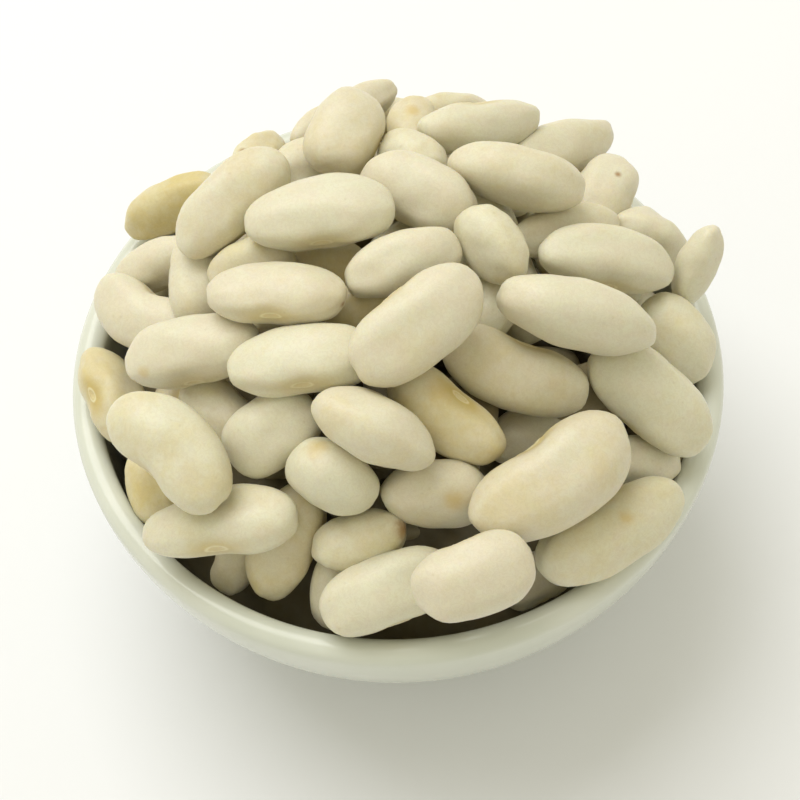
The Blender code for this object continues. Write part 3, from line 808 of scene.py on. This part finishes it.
def unit_bean(kind, fat=0.0, taper=0.0, waist=0.0, blunt=0.0, ridge=0.0, lumps=0.012):
    seed = KINDS.index(kind)
    x, y, z = blunt_egg(grid_directions(), BLUNT + blunt)
    swell = 1 + fat * x - taper * (x * x - 0.3) - waist * bump_at(x, 0.0, 0.35)
    swell += lumps * lumpy(x, y, z, seed)
    eye = np.hypot(x / EYE_LONG, z / EYE_WIDE)
    relief = EYE_RIM * bump_at(eye, 1.0, 0.33) - EYE_PIT * np.clip(1 - eye, 0, 1) ** 0.7
    relief = np.where(y < 0, relief, 0.0) + np.where(y > 0, ridge * bump_at(z, 0.0, 0.25), 0.0)
    relief -= SEAM * bump_at(z, 0.0, 0.05) * (y > 0)
    long_way = x * (1 + lumps * lumpy(z, x, y, seed + 20))
    return np.column_stack([long_way, y * swell + np.sign(y) * relief, z * swell])


# %% Make the meshes
bean_forms = bpy.data.collections.new("bean forms")


def bean_form(kind):
    mesh = bpy.data.meshes.new(f"{KINDS.index(kind)} {kind}")
    points = unit_bean(kind, **FORMS[kind])
    mesh.from_pydata(points.tolist(), [], grid_faces())
    own = mesh.attributes.new("own_place", "FLOAT_VECTOR", "POINT")
    own.data.foreach_set("vector", blunt_egg(grid_directions()).T.ravel())
    shape = bmesh.new()
    shape.from_mesh(mesh)
    bmesh.ops.recalc_face_normals(shape, faces=shape.faces)
    shape.to_mesh(mesh)
    shape.free()
    thing = bpy.data.objects.new(mesh.name, mesh)
    bean_forms.objects.link(thing)
    return thing


for kind in KINDS:
    tell(bean_form(kind), "a shape to copy")

# %% [markdown]
# ## Materials
#
# Several finishes share the same two effects: a soft unevenness of tone, and a fine relief that
# only the gloss shows. Each is a shader node group, built once. A small helper adds nodes and
# links them, so that the material below reads like a recipe.

# %% A helper for shader trees
def add_node(tree, kind, values=None, **settings):
    """Adds a node, sets its properties, and sets or links its inputs."""
    node = tree.nodes.new(kind)
    for name, value in settings.items():
        setattr(node, name, value)
    for name, value in (values or {}).items():
        if isinstance(value, bpy.types.NodeSocket):
            tree.links.new(value, node.inputs[name])
        else:
            node.inputs[name].default_value = value
    return node


def math_node(tree, operation, *values):
    node = tree.nodes.new("ShaderNodeMath")
    node.operation = operation
    for number, value in enumerate(values):
        if isinstance(value, bpy.types.NodeSocket):
            tree.links.new(value, node.inputs[number])
        else:
            node.inputs[number].default_value = value
    return node.outputs[0]


def times(tree, *values):
    return math_node(tree, "MULTIPLY", *values)


def plus(tree, *values):
    return math_node(tree, "ADD", *values)


def minus(tree, *values):
    return math_node(tree, "SUBTRACT", *values)


def vector_node(tree, operation, first, second):
    values = {0: first, 1: second}
    return add_node(tree, "ShaderNodeVectorMath", values, operation=operation).outputs[0]


def noise(tree, place, scale, detail=2.0, distortion=0.0):
    values = {"Vector": place, "Scale": scale, "Detail": detail, "Distortion": distortion}
    return add_node(tree, "ShaderNodeTexNoise", values).outputs[0]


def mix_colours(tree, share, first, second, blend="MIX"):
    node = tree.nodes.new("ShaderNodeMix")
    node.data_type = "RGBA"
    node.blend_type = blend
    for number, value in ((0, share), (6, first), (7, second)):
        if isinstance(value, bpy.types.NodeSocket):
            tree.links.new(value, node.inputs[number])
        else:
            node.inputs[number].default_value = value if number == 0 else (*value, 1.0)
    return node.outputs[2]


def ramp(tree, value, low, high, to_low=0.0, to_high=1.0, smooth=True):
    node = add_node(tree, "ShaderNodeMapRange", {"Value": value})
    node.interpolation_type = "SMOOTHSTEP" if smooth else "LINEAR"
    ends = {"From Min": low, "From Max": high, "To Min": to_low, "To Max": to_high}
    for name, number in ends.items():
        node.inputs[name].default_value = number
    return node.outputs["Result"]


def new_group(name, inputs, outputs):
    group = bpy.data.node_groups.new(name, "ShaderNodeTree")
    for way, sockets in (("INPUT", inputs), ("OUTPUT", outputs)):
        for label, kind, default in sockets:
            socket = group.interface.new_socket(label, in_out=way, socket_type=kind)
            if default is not None:
                socket.default_value = default
    return group, group.nodes.new("NodeGroupInput"), group.nodes.new("NodeGroupOutput")


# %% Two shared effects
NUMBER, VECTOR = "NodeSocketFloat", "NodeSocketVector"


def build_cloudiness():
    """A slow and a middling noise together, from 0 to 1."""
    group, given, out = new_group(
        "cloudiness",
        [("Place", VECTOR, None), ("Slow", NUMBER, 150.0), ("Fine", NUMBER, 900.0)],
        [("Tone", NUMBER, None)],
    )
    slow = noise(group, given.outputs["Place"], given.outputs["Slow"], 2.0)
    fine = noise(group, given.outputs["Place"], given.outputs["Fine"], 3.0)
    both = plus(group, times(group, slow, 0.6), times(group, fine, 0.4))
    group.links.new(ramp(group, both, 0.3, 0.7), out.inputs["Tone"])
    return group


def build_specks():
    """Small round specks that are few and far between."""
    group, given, out = new_group(
        "specks",
        [
            ("Place", VECTOR, None), ("Scale", NUMBER, 700.0),
            ("Size", NUMBER, 0.18), ("Share", NUMBER, 0.3),
        ],
        [("Mask", NUMBER, None)],
    )
    where = {"Vector": given.outputs["Place"], "Scale": given.outputs["Scale"]}
    cells = add_node(group, "ShaderNodeTexVoronoi", where)
    chance = add_node(group, "ShaderNodeSeparateColor", {"Color": cells.outputs["Color"]})
    picked = math_node(group, "LESS_THAN", chance.outputs[0], given.outputs["Share"])
    out_of_middle = math_node(group, "DIVIDE", cells.outputs["Distance"], given.outputs["Size"])
    inside = minus(group, 1.0, out_of_middle)
    soft = ramp(group, inside, 0.0, 0.6)
    group.links.new(times(group, picked, soft), out.inputs["Mask"])
    return group


cloudiness, specks = build_cloudiness(), build_specks()


def use_group(tree, group, values):
    node = tree.nodes.new("ShaderNodeGroup")
    node.node_tree = group
    for name, value in values.items():
        if isinstance(value, bpy.types.NodeSocket):
            tree.links.new(value, node.inputs[name])
        else:
            node.inputs[name].default_value = value
    return node.outputs[0]


print("shared effects:", cloudiness.name, "and", specks.name)

# %% [markdown]
# ### Glazed porcelain
#
# The glaze is white with a breath of green, where it lies thick. It is glossy but soft, because
# the body under it lets a little light in. Its surface is very slightly wavy from the firing,
# and a few iron specks show, as in everyday ware. The foot ring stands on bare, unglazed clay.

# %% White glaze
GLAZE = (0.69, 0.71, 0.64)
GLAZE_THICK = (0.64, 0.67, 0.59)
IRON = (0.30, 0.24, 0.15)
BARE_CLAY = (0.60, 0.57, 0.49)
GLAZE_ROUGH = 0.16
CLAY_ROUGH = 0.8
BARE_BELOW = 0.6 * MM  # height of the glaze's lower edge
BARE_FULLY = 0.35 * MM


def new_material(name):
    finish = bpy.data.materials.new(name)
    finish.use_nodes = True
    return finish, finish.node_tree, finish.node_tree.nodes["Principled BSDF"]


def raise_by(tree, shader, height, strength, distance):
    values = {"Height": height, "Strength": strength, "Distance": distance}
    relief = add_node(tree, "ShaderNodeBump", values)
    tree.links.new(relief.outputs[0], shader.inputs["Normal"])


def let_light_in(shader, weight, reach, scale):
    """Light goes some way under the surface, red the farthest."""
    shader.inputs["Subsurface Weight"].default_value = weight
    shader.inputs["Subsurface Radius"].default_value = reach
    shader.inputs["Subsurface Scale"].default_value = scale


def glaze_material():
    finish, tree, shader = new_material("white glaze")
    place = add_node(tree, "ShaderNodeTexCoord").outputs["Object"]
    height = add_node(tree, "ShaderNodeSeparateXYZ", {"Vector": place}).outputs["Z"]
    tone = use_group(tree, cloudiness, {"Place": place, "Slow": 35.0, "Fine": 160.0})
    colour = mix_colours(tree, tone, GLAZE, GLAZE_THICK)
    fleck = use_group(tree, specks, {"Place": place, "Scale": 160.0, "Size": 0.05, "Share": 0.10})
    colour = mix_colours(tree, times(tree, fleck, 0.5), colour, IRON)
    bare = ramp(tree, height, BARE_BELOW, BARE_FULLY)
    colour = mix_colours(tree, bare, colour, BARE_CLAY)
    tree.links.new(colour, shader.inputs["Base Color"])
    rough = plus(tree, times(tree, tone, 0.05), GLAZE_ROUGH)
    rough = math_node(tree, "MAXIMUM", rough, times(tree, bare, CLAY_ROUGH))
    tree.links.new(rough, shader.inputs["Roughness"])
    wave = noise(tree, place, 70.0, 1.0)
    raise_by(tree, shader, wave, 0.12, 0.4 * MM)
    let_light_in(shader, 0.08, (1.0, 0.9, 0.7), 1.5 * MM)
    return finish


bowl.data.materials.append(glaze_material())
print("bowl finish:", bowl.data.materials[0].name)

# %% [markdown]
# ### The skin of a bean
#
# A dried bean is matt ivory with a silky sheen. Some lean to yellow and some to a pale rose, and
# none is of one even tone. The eye is an oval scar: a pale raised rim, a tan floor with a slit,
# and a yellow halo round it, dark enough to be painted shade in the hollow at the eye as well.
# To draw that on every bean, each mesh carries an attribute called own_place that says where a
# point is on its own bean. Other attributes, one value for each bean, give the tint, the seed of
# its mottling, and the place and size of its stains. The lower beans and the core get the same
# skin with painted shade: it is made darker and browner, as little light comes down there.

# %% Bean skin
IVORY = (0.705, 0.69, 0.535)
ROSE = (0.70, 0.645, 0.505)
STRAW = (0.62, 0.51, 0.20)
# yellow of the eye's halo, dark enough to be painted shade in the hollow at the eye as well
HALO_AND_PAINTED_SHADE = (0.55, 0.43, 0.15)
EYE_PALE = (0.78, 0.72, 0.50)
EYE_TAN = (0.70, 0.61, 0.36)
BROWN = (0.32, 0.16, 0.04)
GOLD = (0.60, 0.44, 0.14)
PORE = (0.40, 0.31, 0.16)


def read_attribute(tree, name, output="Fac"):
    return add_node(tree, "ShaderNodeAttribute", attribute_name=name).outputs[output]


def distance_in(tree, place, scale):
    """Length of a place after each of its axes is multiplied."""
    scaled = vector_node(tree, "MULTIPLY", place, scale)
    return add_node(tree, "ShaderNodeVectorMath", {0: scaled}, operation="LENGTH").outputs["Value"]


def ring(tree, value, middle, reach):
    """1 where the value is at its middle, falling to 0 within reach on either side."""
    off = math_node(tree, "ABSOLUTE", minus(tree, value, middle))
    return ramp(tree, off, reach, 0.0)


def bean_material(name, shade=1.0):
    finish, tree, shader = new_material(name)
    place = add_node(tree, "ShaderNodeTexCoord").outputs["Object"]
    own = read_attribute(tree, "own_place", "Vector")
    seed = read_attribute(tree, "seed", "Vector")
    tint, age = read_attribute(tree, "tint"), read_attribute(tree, "age")
    moved = vector_node(tree, "ADD", place, seed)
    tone = use_group(tree, cloudiness, {"Place": moved, "Slow": 170.0, "Fine": 800.0})
    patches = noise(tree, moved, 260.0, 3.0, 0.8)
    rosy = plus(tree, times(tree, tint, 0.5), times(tree, patches, 1.6))
    colour = mix_colours(tree, ramp(tree, rosy, 0.55, 1.55), IVORY, ROSE)
    yellow = plus(tree, age, times(tree, minus(tree, tone, 0.5), 0.35))
    colour = mix_colours(tree, ramp(tree, yellow, 0.0, 1.0), colour, STRAW)

    # a fine marbling, and a few pores
    marbling = noise(tree, moved, 1100.0, 4.0, 1.5)
    veins = ring(tree, marbling, 0.5, 0.09)
    colour = mix_colours(tree, times(tree, veins, 0.11), colour, PORE)
    pores = use_group(tree, specks, {"Place": moved, "Scale": 900.0, "Size": 0.26, "Share": 0.10})
    colour = mix_colours(tree, times(tree, pores, 0.14), colour, PORE)

    # the eye with its yellow halo, which also paints shade into the hollow round the eye
    own_axes = add_node(tree, "ShaderNodeSeparateXYZ", {"Vector": own})
    front = ramp(tree, own_axes.outputs["Y"], 0.1, -0.2)
    eye = distance_in(tree, own, (1 / EYE_LONG, 0.0, 1 / EYE_WIDE))
    halo_and_painted_shade = times(tree, front, ramp(tree, eye, 5.0, 0.8))
    halo_and_painted_shade = times(tree, halo_and_painted_shade, plus(tree, 0.45, times(tree, age, 1.2)))
    colour = mix_colours(tree, halo_and_painted_shade, colour, HALO_AND_PAINTED_SHADE)
    floor = times(tree, front, ramp(tree, eye, 0.95, 0.6))
    colour = mix_colours(tree, times(tree, floor, 0.8), colour, EYE_TAN)
    rim = times(tree, front, ring(tree, eye, 1.05, 0.35))
    colour = mix_colours(tree, times(tree, rim, 0.75), colour, EYE_PALE)

    # stains
    for number, tone_of_stain, strength in ((1, BROWN, 0.85), (2, GOLD, 0.6)):
        middle = read_attribute(tree, f"stain_{number}", "Vector")
        size = read_attribute(tree, f"stain_size_{number}")
        off = vector_node(tree, "SUBTRACT", place, middle)
        far = add_node(tree, "ShaderNodeVectorMath", {0: off}, operation="LENGTH").outputs["Value"]
        torn = noise(tree, moved, 900.0, 3.0)
        edge = plus(tree, math_node(tree, "DIVIDE", far, size), times(tree, torn, 0.8))
        mask = ramp(tree, edge, 1.5, 0.45)
        colour = mix_colours(tree, times(tree, mask, strength), colour, tone_of_stain)

    # painted shade: the skin of the beans deep in the heap is multiplied darker and browner
    if shade < 1.0:
        brown_shade = (shade, shade * 0.92, shade * 0.75)
        colour = mix_colours(tree, 1.0, colour, brown_shade, blend="MULTIPLY")
    tree.links.new(colour, shader.inputs["Base Color"])

    rough = plus(tree, times(tree, tone, 0.10), 0.42)
    tree.links.new(rough, shader.inputs["Roughness"])
    stretched = vector_node(tree, "MULTIPLY", own, (7.0, 3.2, 3.2))
    far_seed = vector_node(tree, "MULTIPLY", seed, (90.0, 90.0, 90.0))
    grain_place = vector_node(tree, "ADD", stretched, far_seed)
    grain = noise(tree, grain_place, 1.6, 3.0, 1.2)
    skin = noise(tree, moved, 1500.0, 2.0)
    height = plus(tree, times(tree, grain, 0.30), times(tree, skin, 0.12))
    raise_by(tree, shader, height, 0.35, 0.35 * MM)
    let_light_in(shader, 0.35, (1.0, 0.75, 0.3), 1.6 * MM)
    shader.inputs["Sheen Weight"].default_value = 0.05
    return finish


bean_skin = bean_material("bean skin")
# painted shade: the layer below and the core wear this skin darkened, the core the most
painted_shade_skin = bean_material("bean skin in the dark", shade=0.42)
gloom = bean_material("bean skin in the gloom", shade=0.2)
print("bean finish:", len(bean_skin.node_tree.nodes), "nodes")

# %% [markdown]
# ## Last touches
#
# With the whole heap in place, a few beans of the picture show their eye more than ours do, and a
# few of ours lie a millimetre off. We turn and move only those, after all else, so that the heap
# under them stays as it settled.

# %% Turn and move a few beans
TOUCHES = (
    # bean, more roll in degrees, move to the right, up in the picture and toward us in mm
    (11, 12, 0.0, 0.0, 0.0),
    (39, 20, 0.0, 0.0, 0.0),
    (40, 14, 0.0, 0.0, 0.0),
    (42, 16, 0.0, 0.0, 0.0),
    (18, 0, 0.5, -0.3, 0.0),
    (21, 0, 0.5, 0.0, 1.2),
    (25, 0, -0.4, -0.5, 0.0),
)

for number, roll, right, up, near_us in TOUCHES:
    bean = heap[number]
    bean["axes"] = tilted(*bean["axes"], 0.0, math.radians(roll))
    bean["place"] = bean["place"] + right * RIGHT + up * UP - near_us * bean["ray"]
print(len(TOUCHES), "beans touched up")

# %% [markdown]
# ## Marks of single beans
#
# Some beans carry marks that one knows them by: a brown bruise, a yellow patch. We name each by
# its bean and by the pixel where it shows, and follow the line of sight to the bean's surface.

# %% Bruises and patches
MARKS = (
    # bean, pixel, size in mm, kind (1 brown, 2 yellow)
    (3, (243, 152), 0.9, 1),
    (49, (618, 175), 0.7, 1),
    (18, (403, 529), 2.0, 1),
    (20, (441, 392), 2.6, 2),
    (7, (145, 372), 1.3, 2),
    (19, (455, 500), 2.2, 2),
    (26, (626, 517), 1.4, 2),
    (40, (343, 304), 0.6, 1),
    (54, (413, 110), 1.6, 2),
    (17, (318, 448), 2.4, 2),
    (0, (186, 222), 2.0, 2),
    (16, (333, 408), 1.0, 2),
)
# beans that are yellower than the rest, and by how much
AGES = {
    0: 0.62, 3: 0.35, 8: 0.38, 10: 0.55, 12: 0.40, 20: 0.42, 26: 0.22, 43: 0.5, 44: 0.5, 54: 0.35,
}
NOWHERE = 900.0  # mm, so far off that no stain shows


def where_sight_meets(bean, pixel):
    """The first point of a bean on a line of sight, or the nearest that the line comes to it."""
    ray = sight_line(pixel)
    middle = (bean["place"] - EYE) @ ray
    along = np.linspace(middle - LONGEST / 2, middle + LONGEST / 2, 400)
    points = EYE + along[:, None] * ray
    depth = depth_inside(points - bean["place"], bean)[0]
    inside = np.nonzero(depth > 0)[0]
    return points[inside[0] if len(inside) else int(depth.argmax())]


for bean in heap + lower:
    for number in (1, 2):
        bean[f"stain_{number}"], bean[f"stain_size_{number}"] = np.full(3, NOWHERE), 1.0
for number, age in AGES.items():
    heap[number]["age"] = age
for number, pixel, size, kind_of_mark in MARKS:
    bean = heap[number]
    bean[f"stain_{kind_of_mark}"] = where_sight_meets(bean, pixel)
    bean[f"stain_size_{kind_of_mark}"] = size
print(len(MARKS), "marks placed")

# %% [markdown]
# ## Copying the shapes into the heap
#
# Geometry Nodes does the laying. We give it a cloud of points, one for each bean, which carry the
# bean's kind, turn, half-sizes and colours as named attributes. The tree puts the right shape on
# each point, realizes the copies into one mesh, bends each bean and hollows it at its eye, gives it
# a few lumps of its own, and sets the material. Because the tree reads everything from attributes,
# it lays the top layer and the layer below alike.

# %% The tree that lays beans
LUMP_HEIGHT = 1.5 * MM
LUMPS_ACROSS = 1.1
SEED_REACH = 40.0


def scaled(tree, vector, factor):
    values = {0: vector, "Scale": factor}
    return add_node(tree, "ShaderNodeVectorMath", values, operation="SCALE").outputs[0]


def moved_by(tree, geometry, offset):
    values = {"Geometry": geometry, "Offset": offset}
    return add_node(tree, "GeometryNodeSetPosition", values).outputs[0]


def build_laying_tree():
    tree = bpy.data.node_groups.new("lay beans", "GeometryNodeTree")
    sockets = {}
    for label, kind, default in (
        ("Points", "NodeSocketGeometry", None),
        ("Shapes", "NodeSocketCollection", None),
        ("Swell", "NodeSocketFloat", 1.0),
        ("Bend level", "NodeSocketFloat", BEND_LEVEL),
        ("Notch reach", "NodeSocketFloat", NOTCH_REACH),
        ("Lump height", "NodeSocketFloat", LUMP_HEIGHT),
        ("Finish", "NodeSocketMaterial", None),
    ):
        socket = tree.interface.new_socket(label, in_out="INPUT", socket_type=kind)
        if default is not None:
            socket.default_value = default
        sockets[label] = socket.identifier
    tree.interface.new_socket("Beans", in_out="OUTPUT", socket_type="NodeSocketGeometry")
    given, out = tree.nodes.new("NodeGroupInput"), tree.nodes.new("NodeGroupOutput")

    shapes = tree.nodes.new("GeometryNodeCollectionInfo")
    shapes.inputs["Separate Children"].default_value = True
    shapes.inputs["Reset Children"].default_value = True
    tree.links.new(given.outputs["Shapes"], shapes.inputs["Collection"])

    def named(name, kind):
        node = tree.nodes.new("GeometryNodeInputNamedAttribute")
        node.data_type = kind
        node.inputs["Name"].default_value = name
        outputs = (output for output in node.outputs if output.enabled)
        return next(output for output in outputs if output.name == "Attribute")

    sizes = tree.nodes.new("ShaderNodeVectorMath")
    sizes.operation = "SCALE"
    tree.links.new(named("half_sizes", "FLOAT_VECTOR"), sizes.inputs[0])
    tree.links.new(given.outputs["Swell"], sizes.inputs["Scale"])
    turn = tree.nodes.new("FunctionNodeEulerToRotation")
    tree.links.new(named("turn", "FLOAT_VECTOR"), turn.inputs[0])

    lay = tree.nodes.new("GeometryNodeInstanceOnPoints")
    lay.inputs["Pick Instance"].default_value = True
    tree.links.new(given.outputs["Points"], lay.inputs["Points"])
    tree.links.new(shapes.outputs[0], lay.inputs["Instance"])
    tree.links.new(named("kind", "INT"), lay.inputs["Instance Index"])
    tree.links.new(turn.outputs[0], lay.inputs["Rotation"])
    tree.links.new(sizes.outputs[0], lay.inputs["Scale"])
    real = tree.nodes.new("GeometryNodeRealizeInstances")
    smooth = tree.nodes.new("GeometryNodeSetShadeSmooth")
    finish = tree.nodes.new("GeometryNodeSetMaterial")
    tree.links.new(lay.outputs[0], real.inputs[0])

    own = add_node(tree, "ShaderNodeSeparateXYZ", {"Vector": named("own_place", "FLOAT_VECTOR")})
    x, y = own.outputs["X"], own.outputs["Y"]
    level = minus(tree, given.outputs["Bend level"], times(tree, x, x))
    along = math_node(tree, "DIVIDE", x, given.outputs["Notch reach"])
    narrow = math_node(tree, "EXPONENT", times(tree, times(tree, along, along), -1.0))
    front = math_node(tree, "MAXIMUM", times(tree, y, -1.0), 0.0)
    hollow = times(tree, narrow, times(tree, front, front))
    rise = scaled(tree, named("bend_way", "FLOAT_VECTOR"), level)
    dent = scaled(tree, named("hollow_way", "FLOAT_VECTOR"), hollow)
    bent = moved_by(tree, real.outputs[0], vector_node(tree, "ADD", rise, dent))

    across = scaled(tree, named("own_place", "FLOAT_VECTOR"), LUMPS_ACROSS)
    elsewhere = scaled(tree, named("seed", "FLOAT_VECTOR"), SEED_REACH)
    lumps = noise(tree, vector_node(tree, "ADD", across, elsewhere), 1.0, 1.0)
    swelling = times(tree, minus(tree, lumps, 0.5), given.outputs["Lump height"])
    outward = scaled(tree, tree.nodes.new("GeometryNodeInputNormal").outputs[0], swelling)
    tree.links.new(moved_by(tree, bent, outward), smooth.inputs[0])
    tree.links.new(smooth.outputs[0], finish.inputs[0])
    tree.links.new(given.outputs["Finish"], finish.inputs["Material"])
    tree.links.new(finish.outputs[0], out.inputs[0])
    return tree, sockets


laying_tree, laying_sockets = build_laying_tree()
print("laying tree:", len(laying_tree.nodes), "nodes")

# %% [markdown]
# The points carry the values. A bean's three axes make a turn, which the tree takes as three
# angles. The tints are drawn with a fixed seed: most beans are ivory, some rosy, a few yellow.

# %% Lay the beans
TINT_SEED = 23
SPREAD = 3.0  # how far apart the mottling of two beans is read, in metres


def bean_values(beans, seed):
    """One value for each bean and attribute."""
    draw = np.random.default_rng(seed)
    values = []
    for number, bean in enumerate(beans):
        turn = Matrix(bean["axes"]).transposed().to_euler()
        kind = bean.get("kind") or KINDS[int(draw.integers(len(KINDS)))]
        values.append(dict(
            turn=tuple(turn), half_sizes=half_sizes(bean) * MM, kind=KINDS.index(kind),
            bend_way=bean["axes"][1] * bean["bend"] * bean["width"] * MM,
            hollow_way=bean["axes"][1] * (NOTCH + NOTCH_SHARE * bean["bend"]) * bean["width"] * MM,
            seed=draw.uniform(0, SPREAD, 3), tint=draw.uniform(0, 1),
            age=bean.get("age", float(np.clip(draw.normal(0.12, 0.10), 0, 0.5))),
            stain_1=bean["stain_1"] * MM, stain_size_1=bean["stain_size_1"] * MM,
            stain_2=bean["stain_2"] * MM, stain_size_2=bean["stain_size_2"] * MM,
        ))
    return values


def add_attribute(mesh, label, column):
    """Gives each point of a mesh a whole number, a number or a vector."""
    if column.ndim == 2:
        kind, field = "FLOAT_VECTOR", "vector"
    else:
        kind, field = "INT" if column.dtype == np.int32 else "FLOAT", "value"
    mesh.attributes.new(label, kind, "POINT").data.foreach_set(field, column.ravel())


def lay_beans(name, beans, finish, seed, swell=1.0):
    mesh = bpy.data.meshes.new(name)
    mesh.from_pydata([tuple(bean["place"] * MM) for bean in beans], [], [])
    values = bean_values(beans, seed)
    for label in values[0]:
        column = np.array([value[label] for value in values], float)
        add_attribute(mesh, label, column.astype(np.int32) if label == "kind" else column)
    thing = bpy.data.objects.new(name, mesh)
    scene.collection.objects.link(thing)
    laying = thing.modifiers.new("Lay beans", "NODES")
    laying.node_group = laying_tree
    laying[laying_sockets["Shapes"]] = bean_forms
    laying[laying_sockets["Swell"]] = swell
    laying[laying_sockets["Bend level"]] = BEND_LEVEL
    laying[laying_sockets["Notch reach"]] = NOTCH_REACH
    laying[laying_sockets["Lump height"]] = LUMP_HEIGHT
    laying[laying_sockets["Finish"]] = finish
    make_plain(thing)
    tell(thing, f"{len(beans)} beans")
    return thing


top_beans = lay_beans("top_beans", heap, bean_skin, TINT_SEED)
# painted shade: the layer below wears the darkened bean skin
lower_beans = lay_beans("lower_beans", lower, painted_shade_skin, TINT_SEED + 1)

# %% [markdown]
# ## The core
#
# Under the two layers the bowl is simply full. The core is turned like the bowl, follows its
# inner wall with a small gap, and its top follows the dome far down, roughened as by beans. It
# wears the bean skin darkened the most, as painted shade.

# %% Fill the bowl
CORE_DROP = 15.0
CORE_CLEAR = 0.5
CORE_EDGE = 26.0
CORE_LUMP = 1.6
CORE_WAVES = 0.9  # in radians for each mm
CORE_STEEP = 2.0  # its edge rises by no more than this over its width
CORE_SIDES, CORE_RINGS, CORE_WALL_STEPS = 96, 30, 14


def core_profile():
    bottom = LIP_HEIGHT - INNER_DEPTH + CORE_CLEAR
    edge = float(inner_radius(CORE_EDGE)) - CORE_CLEAR
    skin = [(edge * step / CORE_RINGS, CORE_EDGE) for step in range(CORE_RINGS + 1)]
    wall = []
    for step in range(1, CORE_WALL_STEPS):
        down = math.sin(math.pi / 2 * step / CORE_WALL_STEPS)
        height = CORE_EDGE - (CORE_EDGE - bottom) * down
        wall.append((float(inner_radius(height - CORE_CLEAR)) - CORE_CLEAR, height))
    return skin + wall + [(0.0, bottom)]


def heap_up(core):
    """Lifts the flat top to the dome, less the depth of two layers, with lumps as of beans."""
    edge = float(inner_radius(CORE_EDGE)) - CORE_CLEAR
    for vertex in core.data.vertices:
        x, y, z = (value / MM for value in vertex.co)
        if z > CORE_EDGE - 0.01:
            inward = edge - math.hypot(x, y)
            lumps = CORE_LUMP * math.sin(CORE_WAVES * x) * math.sin(CORE_WAVES * y)
            height = min(dome(x, y) - CORE_DROP + lumps, CORE_EDGE + CORE_STEEP * inward)
            vertex.co.z = max(CORE_EDGE, float(height)) * MM


core = turned("bean_core", core_profile(), CORE_SIDES)
heap_up(core)
core_values = dict(
    own_place=(0.0, 1.0, 0.0), seed=(0.0, 0.0, 0.0), stain_1=(NOWHERE * MM,) * 3,
    stain_2=(NOWHERE * MM,) * 3, tint=0.5, age=0.4, stain_size_1=MM, stain_size_2=MM,
)
for label, value in core_values.items():
    add_attribute(core.data, label, np.array([value] * len(core.data.vertices), float))
# painted shade: the core wears the bean skin darkened the most
core.data.materials.append(gloom)
tell(core, "fills the bowl under the two layers")

# %% [markdown]
# ## Floor and light
#
# A plain pale floor, a warm white room and one big soft light overhead: the beans then shade each
# other, and that shade, yellow-brown from light that went from bean to bean, is most of what one
# sees between them. Deeper down, painted shade darkens the skin of the lower beans and the core.

# %% Floor
FLOOR_SIDE = 6.0
FLOOR_COLOUR = (0.84, 0.855, 0.90)
floor_mesh = bpy.data.meshes.new("floor")
half = FLOOR_SIDE / 2
corners = [(-half, -half, 0.0), (half, -half, 0.0), (half, half, 0.0), (-half, half, 0.0)]
floor_mesh.from_pydata(corners, [], [(0, 1, 2, 3)])
floor = bpy.data.objects.new("floor", floor_mesh)
scene.collection.objects.link(floor)


def floor_material():
    finish, tree, shader = new_material("pale table")
    place = add_node(tree, "ShaderNodeTexCoord").outputs["Object"]
    tone = use_group(tree, cloudiness, {"Place": place, "Slow": 2.0, "Fine": 9.0})
    darker = tuple(value * 0.985 for value in FLOOR_COLOUR)
    tree.links.new(mix_colours(tree, tone, FLOOR_COLOUR, darker), shader.inputs["Base Color"])
    shader.inputs["Roughness"].default_value = 0.8
    shader.inputs["Specular IOR Level"].default_value = 0.1
    return finish


floor_mesh.materials.append(floor_material())
print("floor", FLOOR_SIDE, "m across")

# %% Light
ROOM_LIGHT = 0.72
ROOM_COLOUR = (1.0, 0.955, 0.77)
LAMP_POWER = 5.2
LAMP_SIDE = 0.7
LAMP_PLACE = (-0.25, 0.32, 0.80)
world = bpy.data.worlds.new("room")
scene.world = world
world.use_nodes = True
world.node_tree.nodes["Background"].inputs["Color"].default_value = (*ROOM_COLOUR, 1.0)
world.node_tree.nodes["Background"].inputs["Strength"].default_value = ROOM_LIGHT


def soft_lamp(name, place, side, power):
    lamp = bpy.data.lights.new(name, "AREA")
    lamp.shape = "SQUARE"
    lamp.size = side
    lamp.energy = power
    thing = bpy.data.objects.new(name, lamp)
    scene.collection.objects.link(thing)
    toward = Vector((0.0, 0.0, BOWL_HEIGHT * MM)) - Vector(place)
    facing = toward.to_track_quat("-Z", "Y").to_matrix().to_4x4()
    thing.matrix_world = Matrix.Translation(place) @ facing
    return thing


soft_lamp("overhead lamp", LAMP_PLACE, LAMP_SIDE, LAMP_POWER)
scene.view_settings.view_transform = "Standard"
scene.view_settings.look = "None"
print("lit by the room and one lamp")

# %% [markdown]
# ## Riding on the CAD model
#
# Every piece is made a child of the CAD body that it moves with, and the CAD node that it stands
# for is hidden.

# %% Ride on the frame
for piece, slot in ((bowl, "bowl"), (top_beans, "beans"), (lower_beans, "beans"), (core, "beans")):
    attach(piece, "root")
    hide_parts(slot)
bpy.context.view_layer.update()
